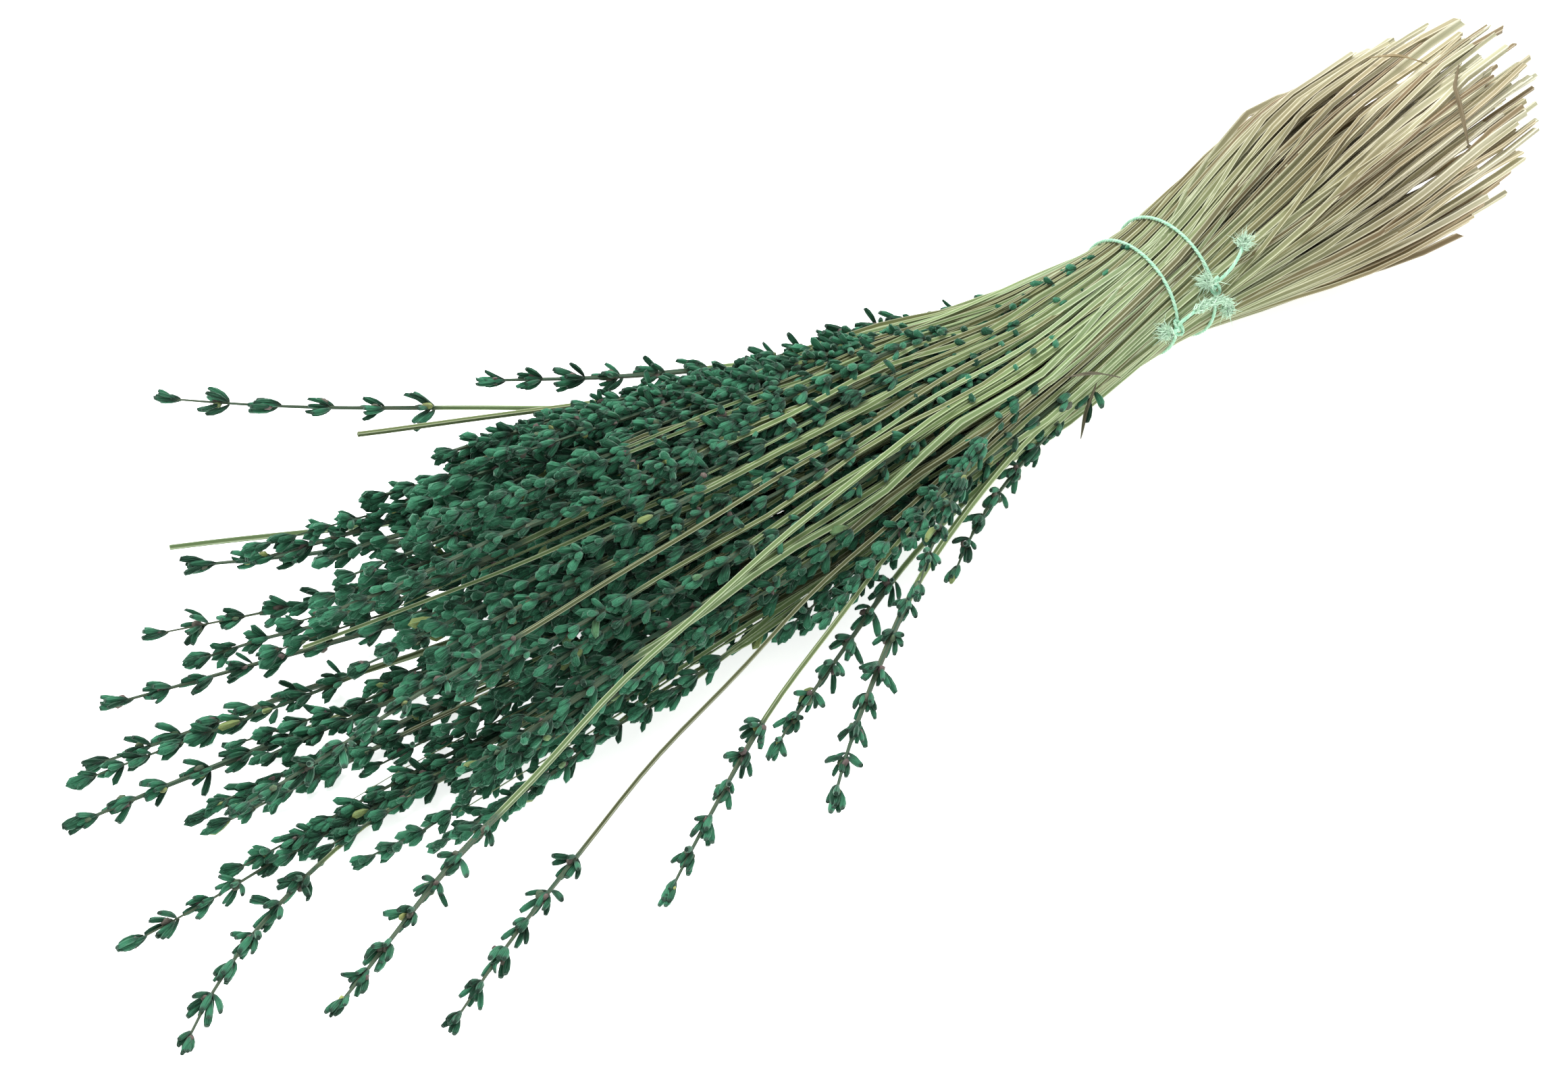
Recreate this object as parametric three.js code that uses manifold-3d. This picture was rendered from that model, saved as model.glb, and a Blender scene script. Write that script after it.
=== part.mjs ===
// A bunch of dried lavender lying on its side. Square stems are bound at the neck by two strings.
// The flower spikes fan out towards -X and the cut ends spread towards +X.
// Millimetres, +Z up. The group stands on z = 0 with its origin under the middle of its box.

import * as THREE from "three";
import { mergeVertices } from "three/addons/utils/BufferGeometryUtils.js";
import Module from "manifold-3d";

const wasm = await Module();
wasm.setup();

// ---- Layout of the bunch. s is the distance from the neck towards the flowers.
const RING_STALKS = 46; // stalks side by side round the outside of the neck
const NECK_HALF_WIDTH = 21.5;
const NECK_HALF_HEIGHT = 18;
const NECK_LIFT = 10; // the spread ends hold the neck off the surface
const NECK_LIFT_REACH = 70;
const TWIST = 1.3; // radians that a stalk turns round the axis between the neck and either end
const TWIST_REACH = 120;
const FAN_START = 28; // the waist keeps its size this far towards the flowers
const FAN_TOP = 0.07; // widening per mm of length, at the top of the bunch
const FAN_FLOOR = 0.21; // the same at the bottom, where the stalks lie flat
const FAN_RISE = 0.085;
const TAIL_WIDENING = 0.23;
const TAIL_RISE = 0.13;
const TAIL_FULL = 90; // the tail widens over this length and then keeps its size
const TAIL_DRIFT = 0.05; // the cut ends lie over to the far side
const WAIST_ROUNDING = 16;
const STRAY_START = 60; // an outlying stalk bends away from its neighbours from here on
const BED_START = 60; // from here to BED_END the stalks rise by the radius of a whorl
const BED_END = 140;
const WHORL_BED = 4.8;

// ---- Stalk sizes
const CUT_RADIUS = 1.45; // half the diagonal of the square stem, at the cut end
const NECK_RADIUS = 1.2;
const SPIKE_RADIUS = 0.9; // at the lowest whorl
const TIP_RADIUS = 0.5;
const WHORL_RADIUS = 5.5;
const WHORL_ROOM = 0.42; // share of the distance to the next stalk that a whorl may fill
const STEM_GAP = 0.15;
const FEWEST_WHORLS = 6;
const EXTRA_WHORLS = 3; // at most
const TIP_LENGTH = 4; // from the highest whorl to the tip
const WHORL_STEP = 10.5; // between the two highest whorls
const WHORL_STEP_GROWTH = 0.5;
const WHORL_STEP_SCATTER = 3;
const SPIKE_FOOT = 6; // from the lowest whorl down to the full stem
const TAIL_LENGTH = 134; // from the neck to the cut ends
const TAIL_SWING = 34; // the cut ends on top are longer by this, and those below shorter
const TAIL_SIDE = 1.3; // the angle round the tail where they are longest, in radians
const TAIL_SCATTER = 14;
const TOP_REACH = 245; // from the neck to the spike tips, on top
const FLOOR_REACH = 340; // the same at the bottom
const REACH_SCATTER = 55;
const INNER_REACH = 40; // the stalks inside stand out this much farther
const STEM_STATIONS = [-140, -100, -50, -18, 18, 50, 90, 140, 190, 240, 290, 340, 390];

// Stalks that stand out from the fan: place in the ring, sideways spread, reach and, for one that
// bends away late, how far out it starts to.
const OUTLIERS = new Map([
  [1, [2.5, 480]],
  [3, [1.5, 460]],
  [14, [2, 135]],
  [16, [0.6, 285]],
  [18, [0.6, 290]],
  [20, [2.75, 240]],
  [24, [3.5, 320]],
  [37, [6, 485, 360]],
  [38, [3.5, 165]],
  [39, [3, 270]],
  [40, [3.75, 275]],
  [41, [1.5, 180]],
  [42, [2.75, 350]],
  [43, [2.25, 440]],
  [44, [3.25, 200]],
]);
// Stalks that stand out along the far lower edge of the fan. The first place has the shortest and
// widest of them and the last place the longest, which stays closest to the fan.
const EDGE_PLACES = [29, 30, 31, 32, 33, 36];
const EDGE_REACH = { shortest: 350, longest: 470 };
const EDGE_SPREAD = { closest: 1.4, widest: 2.4 };
// Stems without a flower, cut straight off: place in the ring, sideways spread and reach.
const BARE_STEMS = new Map([
  [4, [0.4, 395]],
  [21, [2, 290]],
  [28, [2.25, 350]],
]);
// Shells of stalks inside the ring: share of the ring's size, and how many.
const INNER_SHELLS = [
  [0.76, 12],
  [0.5, 8],
  [0.22, 4],
];
const CORE_SHARE = 0.86; // the packed stems between the inner stalks and the ring
const CORE_HALF_LENGTH = 34;
const CORE_STRAIGHT = 18; // the core keeps its full size this far to either side of the neck
const CORE_END_SHARE = 0.5;

// ---- Strings
const STRING_RADIUS = 0.95;
const STRING_CLEARANCE = 0.95;
const KNOT_RADIUS = 2.6;
const TUFT_RADIUS = 2.4;
const TUFT_LENGTH = 7;
const LEAN_SIDE = -0.52; // the angle at which either string comes farthest towards the flowers

// ---- Colours
const STEM_COLOUR = 0x8f9a63;
const BARE_STEM_COLOUR = 0x9aa86c;
const INNER_COLOUR = 0x2f5a41;
const STRING_COLOUR = 0x9fe0c0;
const LEAF_COLOUR = 0x4a4438;

// A repeatable number from 0 to 1 for item i.
function chance(i, salt) {
  const wave = Math.sin(i * 12.9898 + salt * 78.233) * 43758.5453;
  return wave - Math.floor(wave);
}

// A corner rounded into a curve: near 0 for t far below 0, near t far above it.
function ramp(t) {
  return 0.5 * (t + Math.hypot(t, WAIST_ROUNDING));
}

// Angle round the axis, at s, of a stalk that stands at `around` far out in the fan.
function angleAt(s, around) {
  return around + TWIST * (1 - Math.sign(s) * (1 - Math.exp(-Math.abs(s) / TWIST_REACH)));
}

// Centre of a stalk at s. share is its share of the ring's size: 1 is the outside of the bunch.
function place(s, { share, around, spread = 1, reach = FLOOR_REACH, start = STRAY_START }) {
  const angle = angleAt(s, around);
  const stray = ((spread - 1) * Math.max(0, s - start) ** 2) / (reach - start);
  const low = (1 - Math.sin(angle)) / 2;
  const fan = FAN_TOP + (FAN_FLOOR - FAN_TOP) * low;
  const open = ramp(s - FAN_START);
  const tail = ramp(-s) - ramp(-s - TAIL_FULL);
  const width = NECK_HALF_WIDTH + (open + stray) * fan + tail * TAIL_WIDENING;
  const height = NECK_HALF_HEIGHT + open * FAN_RISE + tail * TAIL_RISE;
  const drift = ramp(-s) * TAIL_DRIFT;
  const bed = CUT_RADIUS * Math.SQRT1_2 + WHORL_BED * THREE.MathUtils.smoothstep(s, BED_START, BED_END);
  const lift = NECK_LIFT * Math.exp(-((s / NECK_LIFT_REACH) ** 2));
  return new THREE.Vector3(
    -s,
    drift - share * Math.cos(angle) * width,
    bed + lift + height * (1 + share * Math.sin(angle)),
  );
}

// ---- The stalks, as plain data

function cutLength(around, seed) {
  const swing = TAIL_SWING * Math.cos(angleAt(-TAIL_LENGTH, around) - TAIL_SIDE);
  return TAIL_LENGTH + swing + TAIL_SCATTER * (2 * chance(seed, 1) - 1);
}

function usualReach(around, seed) {
  const middle = (TOP_REACH + FLOOR_REACH) / 2;
  const swing = ((FLOOR_REACH - TOP_REACH) / 2) * Math.sin(around);
  return middle - swing + REACH_SCATTER * (2 * chance(seed, 2) - 1);
}

// Spread and reach along the lower edge, by the share of the way from its last place to its first.
function edgeShape(slot) {
  const way = (EDGE_PLACES.at(-1) - slot) / (EDGE_PLACES.at(-1) - EDGE_PLACES[0]);
  const { lerp } = THREE.MathUtils;
  return [
    lerp(EDGE_SPREAD.closest, EDGE_SPREAD.widest, way ** 3),
    lerp(EDGE_REACH.longest, EDGE_REACH.shortest, way ** 2),
  ];
}

// Sideways spread, reach and, for one stalk, where it bends away.
function ringShape(slot, around) {
  if (EDGE_PLACES.includes(slot)) return edgeShape(slot);
  return BARE_STEMS.get(slot) ?? OUTLIERS.get(slot) ?? [1, usualReach(around, slot)];
}

function ringStalk(slot) {
  const around = (2 * Math.PI * slot) / RING_STALKS;
  const bare = BARE_STEMS.has(slot);
  const [spread, reach, start] = ringShape(slot, around);
  return { seed: slot, around, share: 1, spread, reach, start, bare, tail: cutLength(around, slot) };
}

function innerStalk(share, number, count, seed) {
  const around = (2 * Math.PI * (number + share)) / count;
  return {
    seed,
    around,
    share,
    reach: usualReach(around, seed) + INNER_REACH,
    bare: false,
    tail: cutLength(around, seed),
  };
}

const ring = Array.from({ length: RING_STALKS }, (_, slot) => ringStalk(slot));
const inner = INNER_SHELLS.flatMap(([share, count], shell) =>
  Array.from({ length: count }, (_, n) => innerStalk(share, n, count, 100 + 20 * shell + n)),
);
const stalks = [...ring, ...inner];

// Largest radius that a whorl of this stalk may have at s without touching another stalk.
function roomAt(stalk, s) {
  const centre = place(s, stalk);
  const distances = stalks
    .filter((other) => other !== stalk && s < other.reach + WHORL_RADIUS)
    .map((other) => centre.distanceTo(place(s, other)));
  return Math.min(...distances) * WHORL_ROOM - STEM_GAP;
}

// Distances of the whorls from the tip of the spike: closer together towards the tip.
function whorlDistances(stalk) {
  const count = FEWEST_WHORLS + Math.floor((EXTRA_WHORLS + 1) * chance(stalk.seed, 3));
  const distances = [TIP_LENGTH];
  for (let k = 1; k < count; k += 1) {
    const scatter = WHORL_STEP_SCATTER * chance(stalk.seed, 10 + k);
    distances.push(distances[k - 1] + WHORL_STEP + WHORL_STEP_GROWTH * k + scatter);
  }
  return distances;
}

// ---- Solids

// Bends a solid made along +Y onto a stalk: x goes sideways, y along it and z up.
function bendAlong(geometry, stalk) {
  const position = geometry.attributes.position;
  for (let i = 0; i < position.count; i += 1) {
    const s = position.getY(i);
    const centre = place(s, stalk);
    const along = place(s + 1, stalk).sub(place(s - 1, stalk)).normalize();
    const side = new THREE.Vector3(0, 0, 1).cross(along).negate().normalize();
    const up = side.clone().cross(along);
    centre.addScaledVector(side, position.getX(i)).addScaledVector(up, position.getZ(i));
    position.setXYZ(i, centre.x, centre.y, centre.z);
  }
  return geometry;
}

// Profile of a stalk as [radius, s], from the cut end to the tip.
function stalkProfile(stalk) {
  const { tail, reach, bare } = stalk;
  const distances = bare ? [] : whorlDistances(stalk);
  const lowest = bare ? reach : reach - distances.at(-1) - SPIKE_FOOT;
  const stemRadius = (s) => s < 0
    ? THREE.MathUtils.mapLinear(s, -tail, 0, CUT_RADIUS, NECK_RADIUS)
    : THREE.MathUtils.mapLinear(s, 0, lowest, NECK_RADIUS, SPIKE_RADIUS);
  const stations = STEM_STATIONS.filter((s) => s > 5 - tail && s < lowest - 10);
  const stem = [-tail, ...stations, lowest].map((s) => [stemRadius(s), s]);
  const spike = distances.toReversed().flatMap((distance, k, all) => {
    const s = reach - distance;
    const waist = reach - (distance + (all[k + 1] ?? distance)) / 2;
    const belly = [Math.min(WHORL_RADIUS, roomAt(stalk, s)), s];
    return waist > s ? [belly, [TIP_RADIUS, waist]] : [belly];
  });
  return [[0, -tail], ...stem, ...spike, [0, reach]];
}

function stalkGeometry(stalk) {
  const points = stalkProfile(stalk).map(([radius, s]) => new THREE.Vector2(radius, s));
  return bendAlong(new THREE.LatheGeometry(points, 4, Math.PI / 4), stalk);
}

function solidOf(geometry) {
  const positions = geometry.clone().deleteAttribute("normal").deleteAttribute("uv");
  const merged = mergeVertices(positions, 1e-3);
  return new wasm.Manifold(
    new wasm.Mesh({
      numProp: 3,
      vertProperties: merged.attributes.position.array,
      triVerts: new Uint32Array(merged.index.array),
    }),
  );
}

// One closed geometry from several that overlap.
function join(geometries) {
  const whole = geometries.map(solidOf).reduce((a, b) => a.add(b)).getMesh();
  const geometry = new THREE.BufferGeometry();
  geometry.setAttribute("position", new THREE.BufferAttribute(whole.vertProperties, 3));
  geometry.setIndex(new THREE.BufferAttribute(whole.triVerts, 1));
  geometry.computeVertexNormals();
  return geometry;
}

// The stems packed inside the neck, as one twisted barrel.
function coreGeometry() {
  const profile = [
    [0, -CORE_HALF_LENGTH],
    [CORE_END_SHARE, -CORE_HALF_LENGTH],
    [CORE_SHARE, -CORE_STRAIGHT],
    [CORE_SHARE, CORE_STRAIGHT],
    [CORE_END_SHARE, CORE_HALF_LENGTH],
    [0, CORE_HALF_LENGTH],
  ];
  const points = profile.map(([share, s]) => new THREE.Vector2(share, s));
  const geometry = new THREE.LatheGeometry(points, 16);
  const position = geometry.attributes.position;
  for (let i = 0; i < position.count; i += 1) {
    const [x, s, z] = [position.getX(i), position.getY(i), position.getZ(i)];
    const centre = place(s, { share: Math.hypot(x, z), around: Math.atan2(x, z) });
    position.setXYZ(i, centre.x, centre.y, centre.z);
  }
  return geometry;
}

// A point at s over the neck's stems, at an angle from the near side and a height over the ring.
function overNeck(s, angle, height) {
  const centre = place(s, { share: 1, around: angle - angleAt(s, 0) });
  const outward = new THREE.Vector3(0, -Math.cos(angle), Math.sin(angle));
  return centre.addScaledVector(outward, height);
}

const STRING_HEIGHT = NECK_RADIUS + STRING_CLEARANCE + STRING_RADIUS;

// Where a string that crosses the neck aslant runs, at an angle from the near side.
function stringPlace(s, lean, angle) {
  return s + lean * Math.cos(angle - LEAN_SIDE);
}

// The string's turn round the neck.
function loopGeometry(s, lean) {
  const geometry = new THREE.TorusGeometry(1, STRING_RADIUS, 6, 36);
  const position = geometry.attributes.position;
  for (let i = 0; i < position.count; i += 1) {
    const [x, y, z] = [position.getX(i), position.getY(i), position.getZ(i)];
    const angle = Math.atan2(y, x);
    const height = STRING_HEIGHT + Math.hypot(x, y) - 1;
    const point = overNeck(stringPlace(s, lean, angle) + z, angle, height);
    position.setXYZ(i, point.x, point.y, point.z);
  }
  return geometry;
}

// A loose end of string through points over the neck, with a frayed tuft at its last point.
function looseEnd(points) {
  const curve = new THREE.CatmullRomCurve3(points.map((point) => overNeck(...point)));
  const section = new THREE.Shape().absarc(0, 0, STRING_RADIUS, 0, 2 * Math.PI);
  const settings = { steps: 6, curveSegments: 3, bevelEnabled: false, extrudePath: curve };
  const string = new THREE.ExtrudeGeometry(section, settings);
  const tuft = new THREE.SphereGeometry(TUFT_RADIUS, 7, 5);
  tuft.scale(1, TUFT_LENGTH / (2 * TUFT_RADIUS), 1);
  const turn = new THREE.Quaternion();
  turn.setFromUnitVectors(new THREE.Vector3(0, 1, 0), curve.getTangent(1));
  tuft.applyQuaternion(turn);
  tuft.translate(...curve.getPoint(1).toArray());
  return [string, tuft];
}

function knotGeometry(s, angle) {
  const knot = new THREE.SphereGeometry(KNOT_RADIUS, 8, 6);
  return knot.translate(...overNeck(s, angle, STRING_CLEARANCE + NECK_RADIUS + KNOT_RADIUS).toArray());
}

const LEAF_THICKNESS = 0.7;
const LEAF_END_WIDTH = 0.2; // as a share of its width in the middle

// A narrow dry leaf from one point to another, pointed at both ends and bowed sideways.
function leafGeometry(start, end, width, bow) {
  const length = start.distanceTo(end);
  const leaf = new THREE.BoxGeometry(width, length, LEAF_THICKNESS, 1, 10, 1);
  const position = leaf.attributes.position;
  for (let i = 0; i < position.count; i += 1) {
    const along = position.getY(i) / length;
    const arch = Math.cos(Math.PI * along);
    const x = position.getX(i) * (LEAF_END_WIDTH + (1 - LEAF_END_WIDTH) * arch);
    position.setXYZ(i, x, position.getY(i), position.getZ(i) + bow * arch);
  }
  const turn = new THREE.Matrix4().lookAt(new THREE.Vector3(), end.clone().sub(start),
    new THREE.Vector3(0, 0, 1));
  leaf.rotateX(-Math.PI / 2).applyMatrix4(turn);
  return leaf.translate(...start.clone().lerp(end, 0.5).toArray());
}

// ---- The bunch

const bunch = new THREE.Group();

function addPiece(name, geometry, colour) {
  const material = new THREE.MeshStandardMaterial({ color: colour, roughness: 0.9, metalness: 0 });
  const mesh = new THREE.Mesh(geometry, material);
  mesh.name = name;
  bunch.add(mesh);
}

const numbered = (name, n) => `${name}_${String(n).padStart(2, "0")}`;

ring.filter((stalk) => !stalk.bare).forEach((stalk, n) => {
  addPiece(numbered("stalk", n + 1), stalkGeometry(stalk), STEM_COLOUR);
});
ring.filter((stalk) => stalk.bare).forEach((stalk, n) => {
  addPiece(numbered("bare_stem", n + 1), stalkGeometry(stalk), BARE_STEM_COLOUR);
});
addPiece("inner_stalks", join([coreGeometry(), ...inner.map(stalkGeometry)]), INNER_COLOUR);

// A tie: its turn round the neck at s, aslant by lean, a knot at an angle from the near side, and
// its loose ends, each as the points it runs through after the knot: s, angle and height.
function tieGeometry(s, lean, angle, ends) {
  const knotPlace = stringPlace(s, lean, angle);
  const root = [knotPlace, angle, STRING_HEIGHT];
  const loose = ends.flatMap((points) => looseEnd([root, ...points]));
  return join([loopGeometry(s, lean), knotGeometry(knotPlace, angle), ...loose]);
}

const degrees = THREE.MathUtils.degToRad;
addPiece("flower_side_tie", tieGeometry(14.5, 1, degrees(2), [
  [[19.5, degrees(3), 5.5], [24, degrees(8), 4.5]],
  [[11, degrees(12), 6], [5, degrees(15), 7.5], [-1, degrees(12), 8], [-5, degrees(-3), 7.5]],
]), STRING_COLOUR);
addPiece("cut_side_tie", tieGeometry(-3.5, 1, degrees(23), [
  [[-1, degrees(26), 6], [2.5, degrees(30), 5]],
  [[-11.5, degrees(32), 6], [-20.5, degrees(45), 5]],
]), STRING_COLOUR);

// Dry leaves caught in the bunch: their two ends, width and bow.
const LEAVES = [
  [overNeck(47.5, degrees(-6), 5), overNeck(75.5, degrees(22.5), 5), 2, 1.5],
  [overNeck(62, degrees(8), 6), overNeck(67, degrees(-37), 9), 3, 1],
  [overNeck(-147.5, degrees(76), 5), overNeck(-122, degrees(33), 6), 2.6, 3],
  [overNeck(-126, degrees(110), 4.5), overNeck(-136, degrees(83), 6), 2.2, 2],
];
LEAVES.forEach(([start, end, width, bow], n) => {
  addPiece(numbered("dry_leaf", n + 1), leafGeometry(start, end, width, bow), LEAF_COLOUR);
});

const box = new THREE.Box3().setFromObject(bunch, true);
const middle = box.getCenter(new THREE.Vector3());
bunch.children.forEach((mesh) => mesh.position.set(-middle.x, -middle.y, -box.min.z));

export default bunch;
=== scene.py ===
# %% [markdown]
# # A bunch of dried, dyed lavender
# The bunch lies on its side: about three hundred square stems bound at the neck with two cotton
# strings, flower spikes fanned out one way and cut ends the other. Every piece here is a surface
# worked out with numpy, because a plant is one idea repeated: a tube along a curve, thin or plump.
# A sculpted or scattered plant would look as good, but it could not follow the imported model.

import math

import bpy
import numpy as np
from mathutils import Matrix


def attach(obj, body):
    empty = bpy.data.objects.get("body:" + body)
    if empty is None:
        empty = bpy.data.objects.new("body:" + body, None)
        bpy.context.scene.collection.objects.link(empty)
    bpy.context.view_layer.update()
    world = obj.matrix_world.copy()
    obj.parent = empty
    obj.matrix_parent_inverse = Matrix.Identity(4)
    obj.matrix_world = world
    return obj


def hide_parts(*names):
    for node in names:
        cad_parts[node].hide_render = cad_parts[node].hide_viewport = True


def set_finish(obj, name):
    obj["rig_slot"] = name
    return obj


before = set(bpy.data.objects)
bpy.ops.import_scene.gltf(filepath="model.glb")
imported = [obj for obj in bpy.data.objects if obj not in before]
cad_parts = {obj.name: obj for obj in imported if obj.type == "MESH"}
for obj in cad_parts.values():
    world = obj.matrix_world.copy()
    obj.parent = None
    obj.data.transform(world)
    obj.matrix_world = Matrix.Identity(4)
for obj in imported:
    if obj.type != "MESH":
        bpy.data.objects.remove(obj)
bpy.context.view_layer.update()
NODES = sorted(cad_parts)

# %% [markdown]
# ## The layout of the bunch
# A tied bunch is a ruled shape: each stalk runs almost straight, but all of them lean the same way
# round the axis, so the outline is narrow at the string and opens towards both ends. One function
# of the distance s from the neck gives the place of every stalk. The numbers are those of the
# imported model, in millimetres, so that a fine stalk lies exactly where its plain one does.

# %% Driving dimensions, in millimetres
MM = 0.001
RING_STALKS = 46
NECK_HALF_WIDTH = 21.5
NECK_HALF_HEIGHT = 18
NECK_LIFT = 10
NECK_LIFT_REACH = 70
TWIST = 1.3
TWIST_REACH = 120
FAN_START = 28
FAN_TOP = 0.07
FAN_FLOOR = 0.21
FAN_RISE = 0.085
TAIL_WIDENING = 0.23
TAIL_RISE = 0.13
TAIL_FULL = 90
TAIL_DRIFT = 0.05
WAIST_ROUNDING = 16
STRAY_START = 60
BED_START = 60
BED_END = 140
WHORL_BED = 4.8
CUT_RADIUS = 1.45
NECK_RADIUS = 1.2
SPIKE_RADIUS = 1.0
TAIL_LENGTH = 134
TAIL_SWING = 34
TAIL_SIDE = 1.3
TAIL_SCATTER = 14
TOP_REACH = 245
FLOOR_REACH = 340
REACH_SCATTER = 55


# %% The place of a stalk
def chance(i, salt):
    """A repeatable number from 0 to 1: the fraction left of a large multiple of a sine.

    The salt tells the values of one item i apart."""
    wave = np.sin(i * 12.9898 + salt * 78.233) * 43758.5453
    return wave - np.floor(wave)


def ramp(t):
    """A rounded corner: half of t plus the hypotenuse of t and the rounding."""
    return 0.5 * (t + np.hypot(t, WAIST_ROUNDING))


def smooth(t, start, end):
    """0 before start, 1 after end, and 3u^2 - 2u^3 of the share u between them."""
    u = np.clip((t - start) / (end - start), 0, 1)
    return u * u * (3 - 2 * u)


def angle_at(s, around):
    """The angle round the axis: it turns most near the neck and dies away with distance."""
    return around + TWIST * (1 - np.sign(s) * (1 - np.exp(-np.abs(s) / TWIST_REACH)))


def place(s, share, around, spread=1.0, reach=FLOOR_REACH, start=STRAY_START):
    """A point on an ellipse round the axis, whose width and height grow with the distance s.

    The lower half widens most, outliers stray with the square of s, and the middle is lifted."""
    angle = angle_at(s, around)
    stray = (spread - 1) * np.maximum(0, s - start) ** 2 / (reach - start)
    low = (1 - np.sin(angle)) / 2
    fan = FAN_TOP + (FAN_FLOOR - FAN_TOP) * low
    wide_open = ramp(s - FAN_START)
    tail = ramp(-s) - ramp(-s - TAIL_FULL)
    width = NECK_HALF_WIDTH + (wide_open + stray) * fan + tail * TAIL_WIDENING
    height = NECK_HALF_HEIGHT + wide_open * FAN_RISE + tail * TAIL_RISE
    bed = CUT_RADIUS * math.sqrt(0.5) + WHORL_BED * smooth(s, BED_START, BED_END)
    lift = NECK_LIFT * np.exp(-((s / NECK_LIFT_REACH) ** 2))
    y = ramp(-s) * TAIL_DRIFT - share * np.cos(angle) * width
    z = bed + lift + height * (1 + share * np.sin(angle))
    return np.stack(np.broadcast_arrays(-s, y, z), -1)


neck = place(np.zeros(1), 0.0, 0.0)[0]
print("the neck's middle is", round(float(neck[2]), 1), "mm over the surface")

# %% [markdown]
# ## The stalks of the ring
# Forty-six stalks make the outside of the bunch. Most end where the fan does; the ones that stand
# out are a short list of place, spread and reach, and for one that bends away late its start. Six
# along the far lower edge follow a rule: from the first place to the last they get longer and keep
# closer to the fan. Three were cut straight and carry no flower.

# %% The ring as plain data
OUTLIERS = {
    1: (2.5, 480), 3: (1.5, 460), 14: (2, 135), 16: (0.6, 285), 18: (0.6, 290), 20: (2.75, 240),
    24: (3.5, 320), 37: (6, 485, 360), 38: (3.5, 165), 39: (3, 270), 40: (3.75, 275),
    41: (1.5, 180), 42: (2.75, 350), 43: (2.25, 440), 44: (3.25, 200),
}
BARE_STEMS = {4: (0.4, 395), 21: (2, 290), 28: (2.25, 350)}
EDGE_PLACES = np.array([29, 30, 31, 32, 33, 36])  # along the far lower edge of the fan
EDGE_REACH = (470, 350)  # of the last place, which is the longest, and of the first
EDGE_SPREAD = (1.4, 2.4)


def cut_length(around, seed):
    """From the neck to the cut end: a cosine of the angle, most near the top, and a scatter."""
    swing = TAIL_SWING * np.cos(angle_at(-TAIL_LENGTH, around) - TAIL_SIDE)
    return TAIL_LENGTH + swing + TAIL_SCATTER * (2 * chance(seed, 1) - 1)


def usual_reach(around, seed):
    """From the neck to the tip: short on top, long at the bottom, plus a scatter."""
    middle = (TOP_REACH + FLOOR_REACH) / 2
    swing = (FLOOR_REACH - TOP_REACH) / 2 * np.sin(around)
    return middle - swing + REACH_SCATTER * (2 * chance(seed, 2) - 1)


slots = np.arange(RING_STALKS)
ring_around = 2 * np.pi * slots / RING_STALKS
ring_spread = np.ones(RING_STALKS)
ring_start = np.full(RING_STALKS, float(STRAY_START))
ring_reach = usual_reach(ring_around, slots)
for slot_number, (spread, reach, *late) in {**OUTLIERS, **BARE_STEMS}.items():
    ring_spread[slot_number] = spread
    ring_reach[slot_number] = reach
    ring_start[slot_number] = late[0] if late else STRAY_START
edge_way = (EDGE_PLACES[-1] - EDGE_PLACES) / (EDGE_PLACES[-1] - EDGE_PLACES[0])
ring_reach[EDGE_PLACES] = np.interp(edge_way ** 2, (0, 1), EDGE_REACH)
ring_spread[EDGE_PLACES] = np.interp(edge_way ** 3, (0, 1), EDGE_SPREAD)
ring_bare = np.isin(slots, list(BARE_STEMS))
ring_tail = cut_length(ring_around, slots)
print("reach from", round(ring_reach.min()), "to", round(ring_reach.max()), "mm")

# %% [markdown]
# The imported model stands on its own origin, under the middle of its box. The tip of each flowering
# stalk is a vertex there, so the shift between the layout and the model is read from those tips.
# If all of them give the same shift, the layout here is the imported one.


# %% Where the layout stands in the frame
def packed_tip(name):
    """The vertex of a packed stalk that lies farthest towards the flowers."""
    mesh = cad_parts[name].data
    points = np.empty(3 * len(mesh.vertices), np.float32)
    mesh.vertices.foreach_get("co", points)
    points = points.reshape(-1, 3)
    return points[points[:, 0].argmin()] / MM


stalk_names = [name for name in NODES if name.startswith("stalk_")]
bare_names = [name for name in NODES if name.startswith("bare_stem_")]
packed_tips = np.array([packed_tip(name) for name in stalk_names])
own_tips = place(ring_reach, 1.0, ring_around, ring_spread, ring_reach, ring_start)[~ring_bare]
SHIFT = (packed_tips - own_tips).mean(0)
misfit = np.abs(packed_tips - own_tips - SHIFT).max()
print("shift", SHIFT.round(3).tolist(), "mm, and no tip is off it by more than", round(misfit, 4))

# %% [markdown]
# ## One mesh topology for the whole plant
# Stem, calyx, bract, leaf, string and fibre are all a grid of rings with a pole at each end. Their
# vertices come as whole arrays of shape (items, vertices, 3), so one function can write any number
# of them into a mesh. Each vertex also carries values that the materials read: `along`, how far up the
# item it lies, `tint`, a random number of the item, `edge`, which is 1 and 0 by turns round it, and
# `grain`, a point on a tube round the item, on which a noise pattern has no seam.


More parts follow.
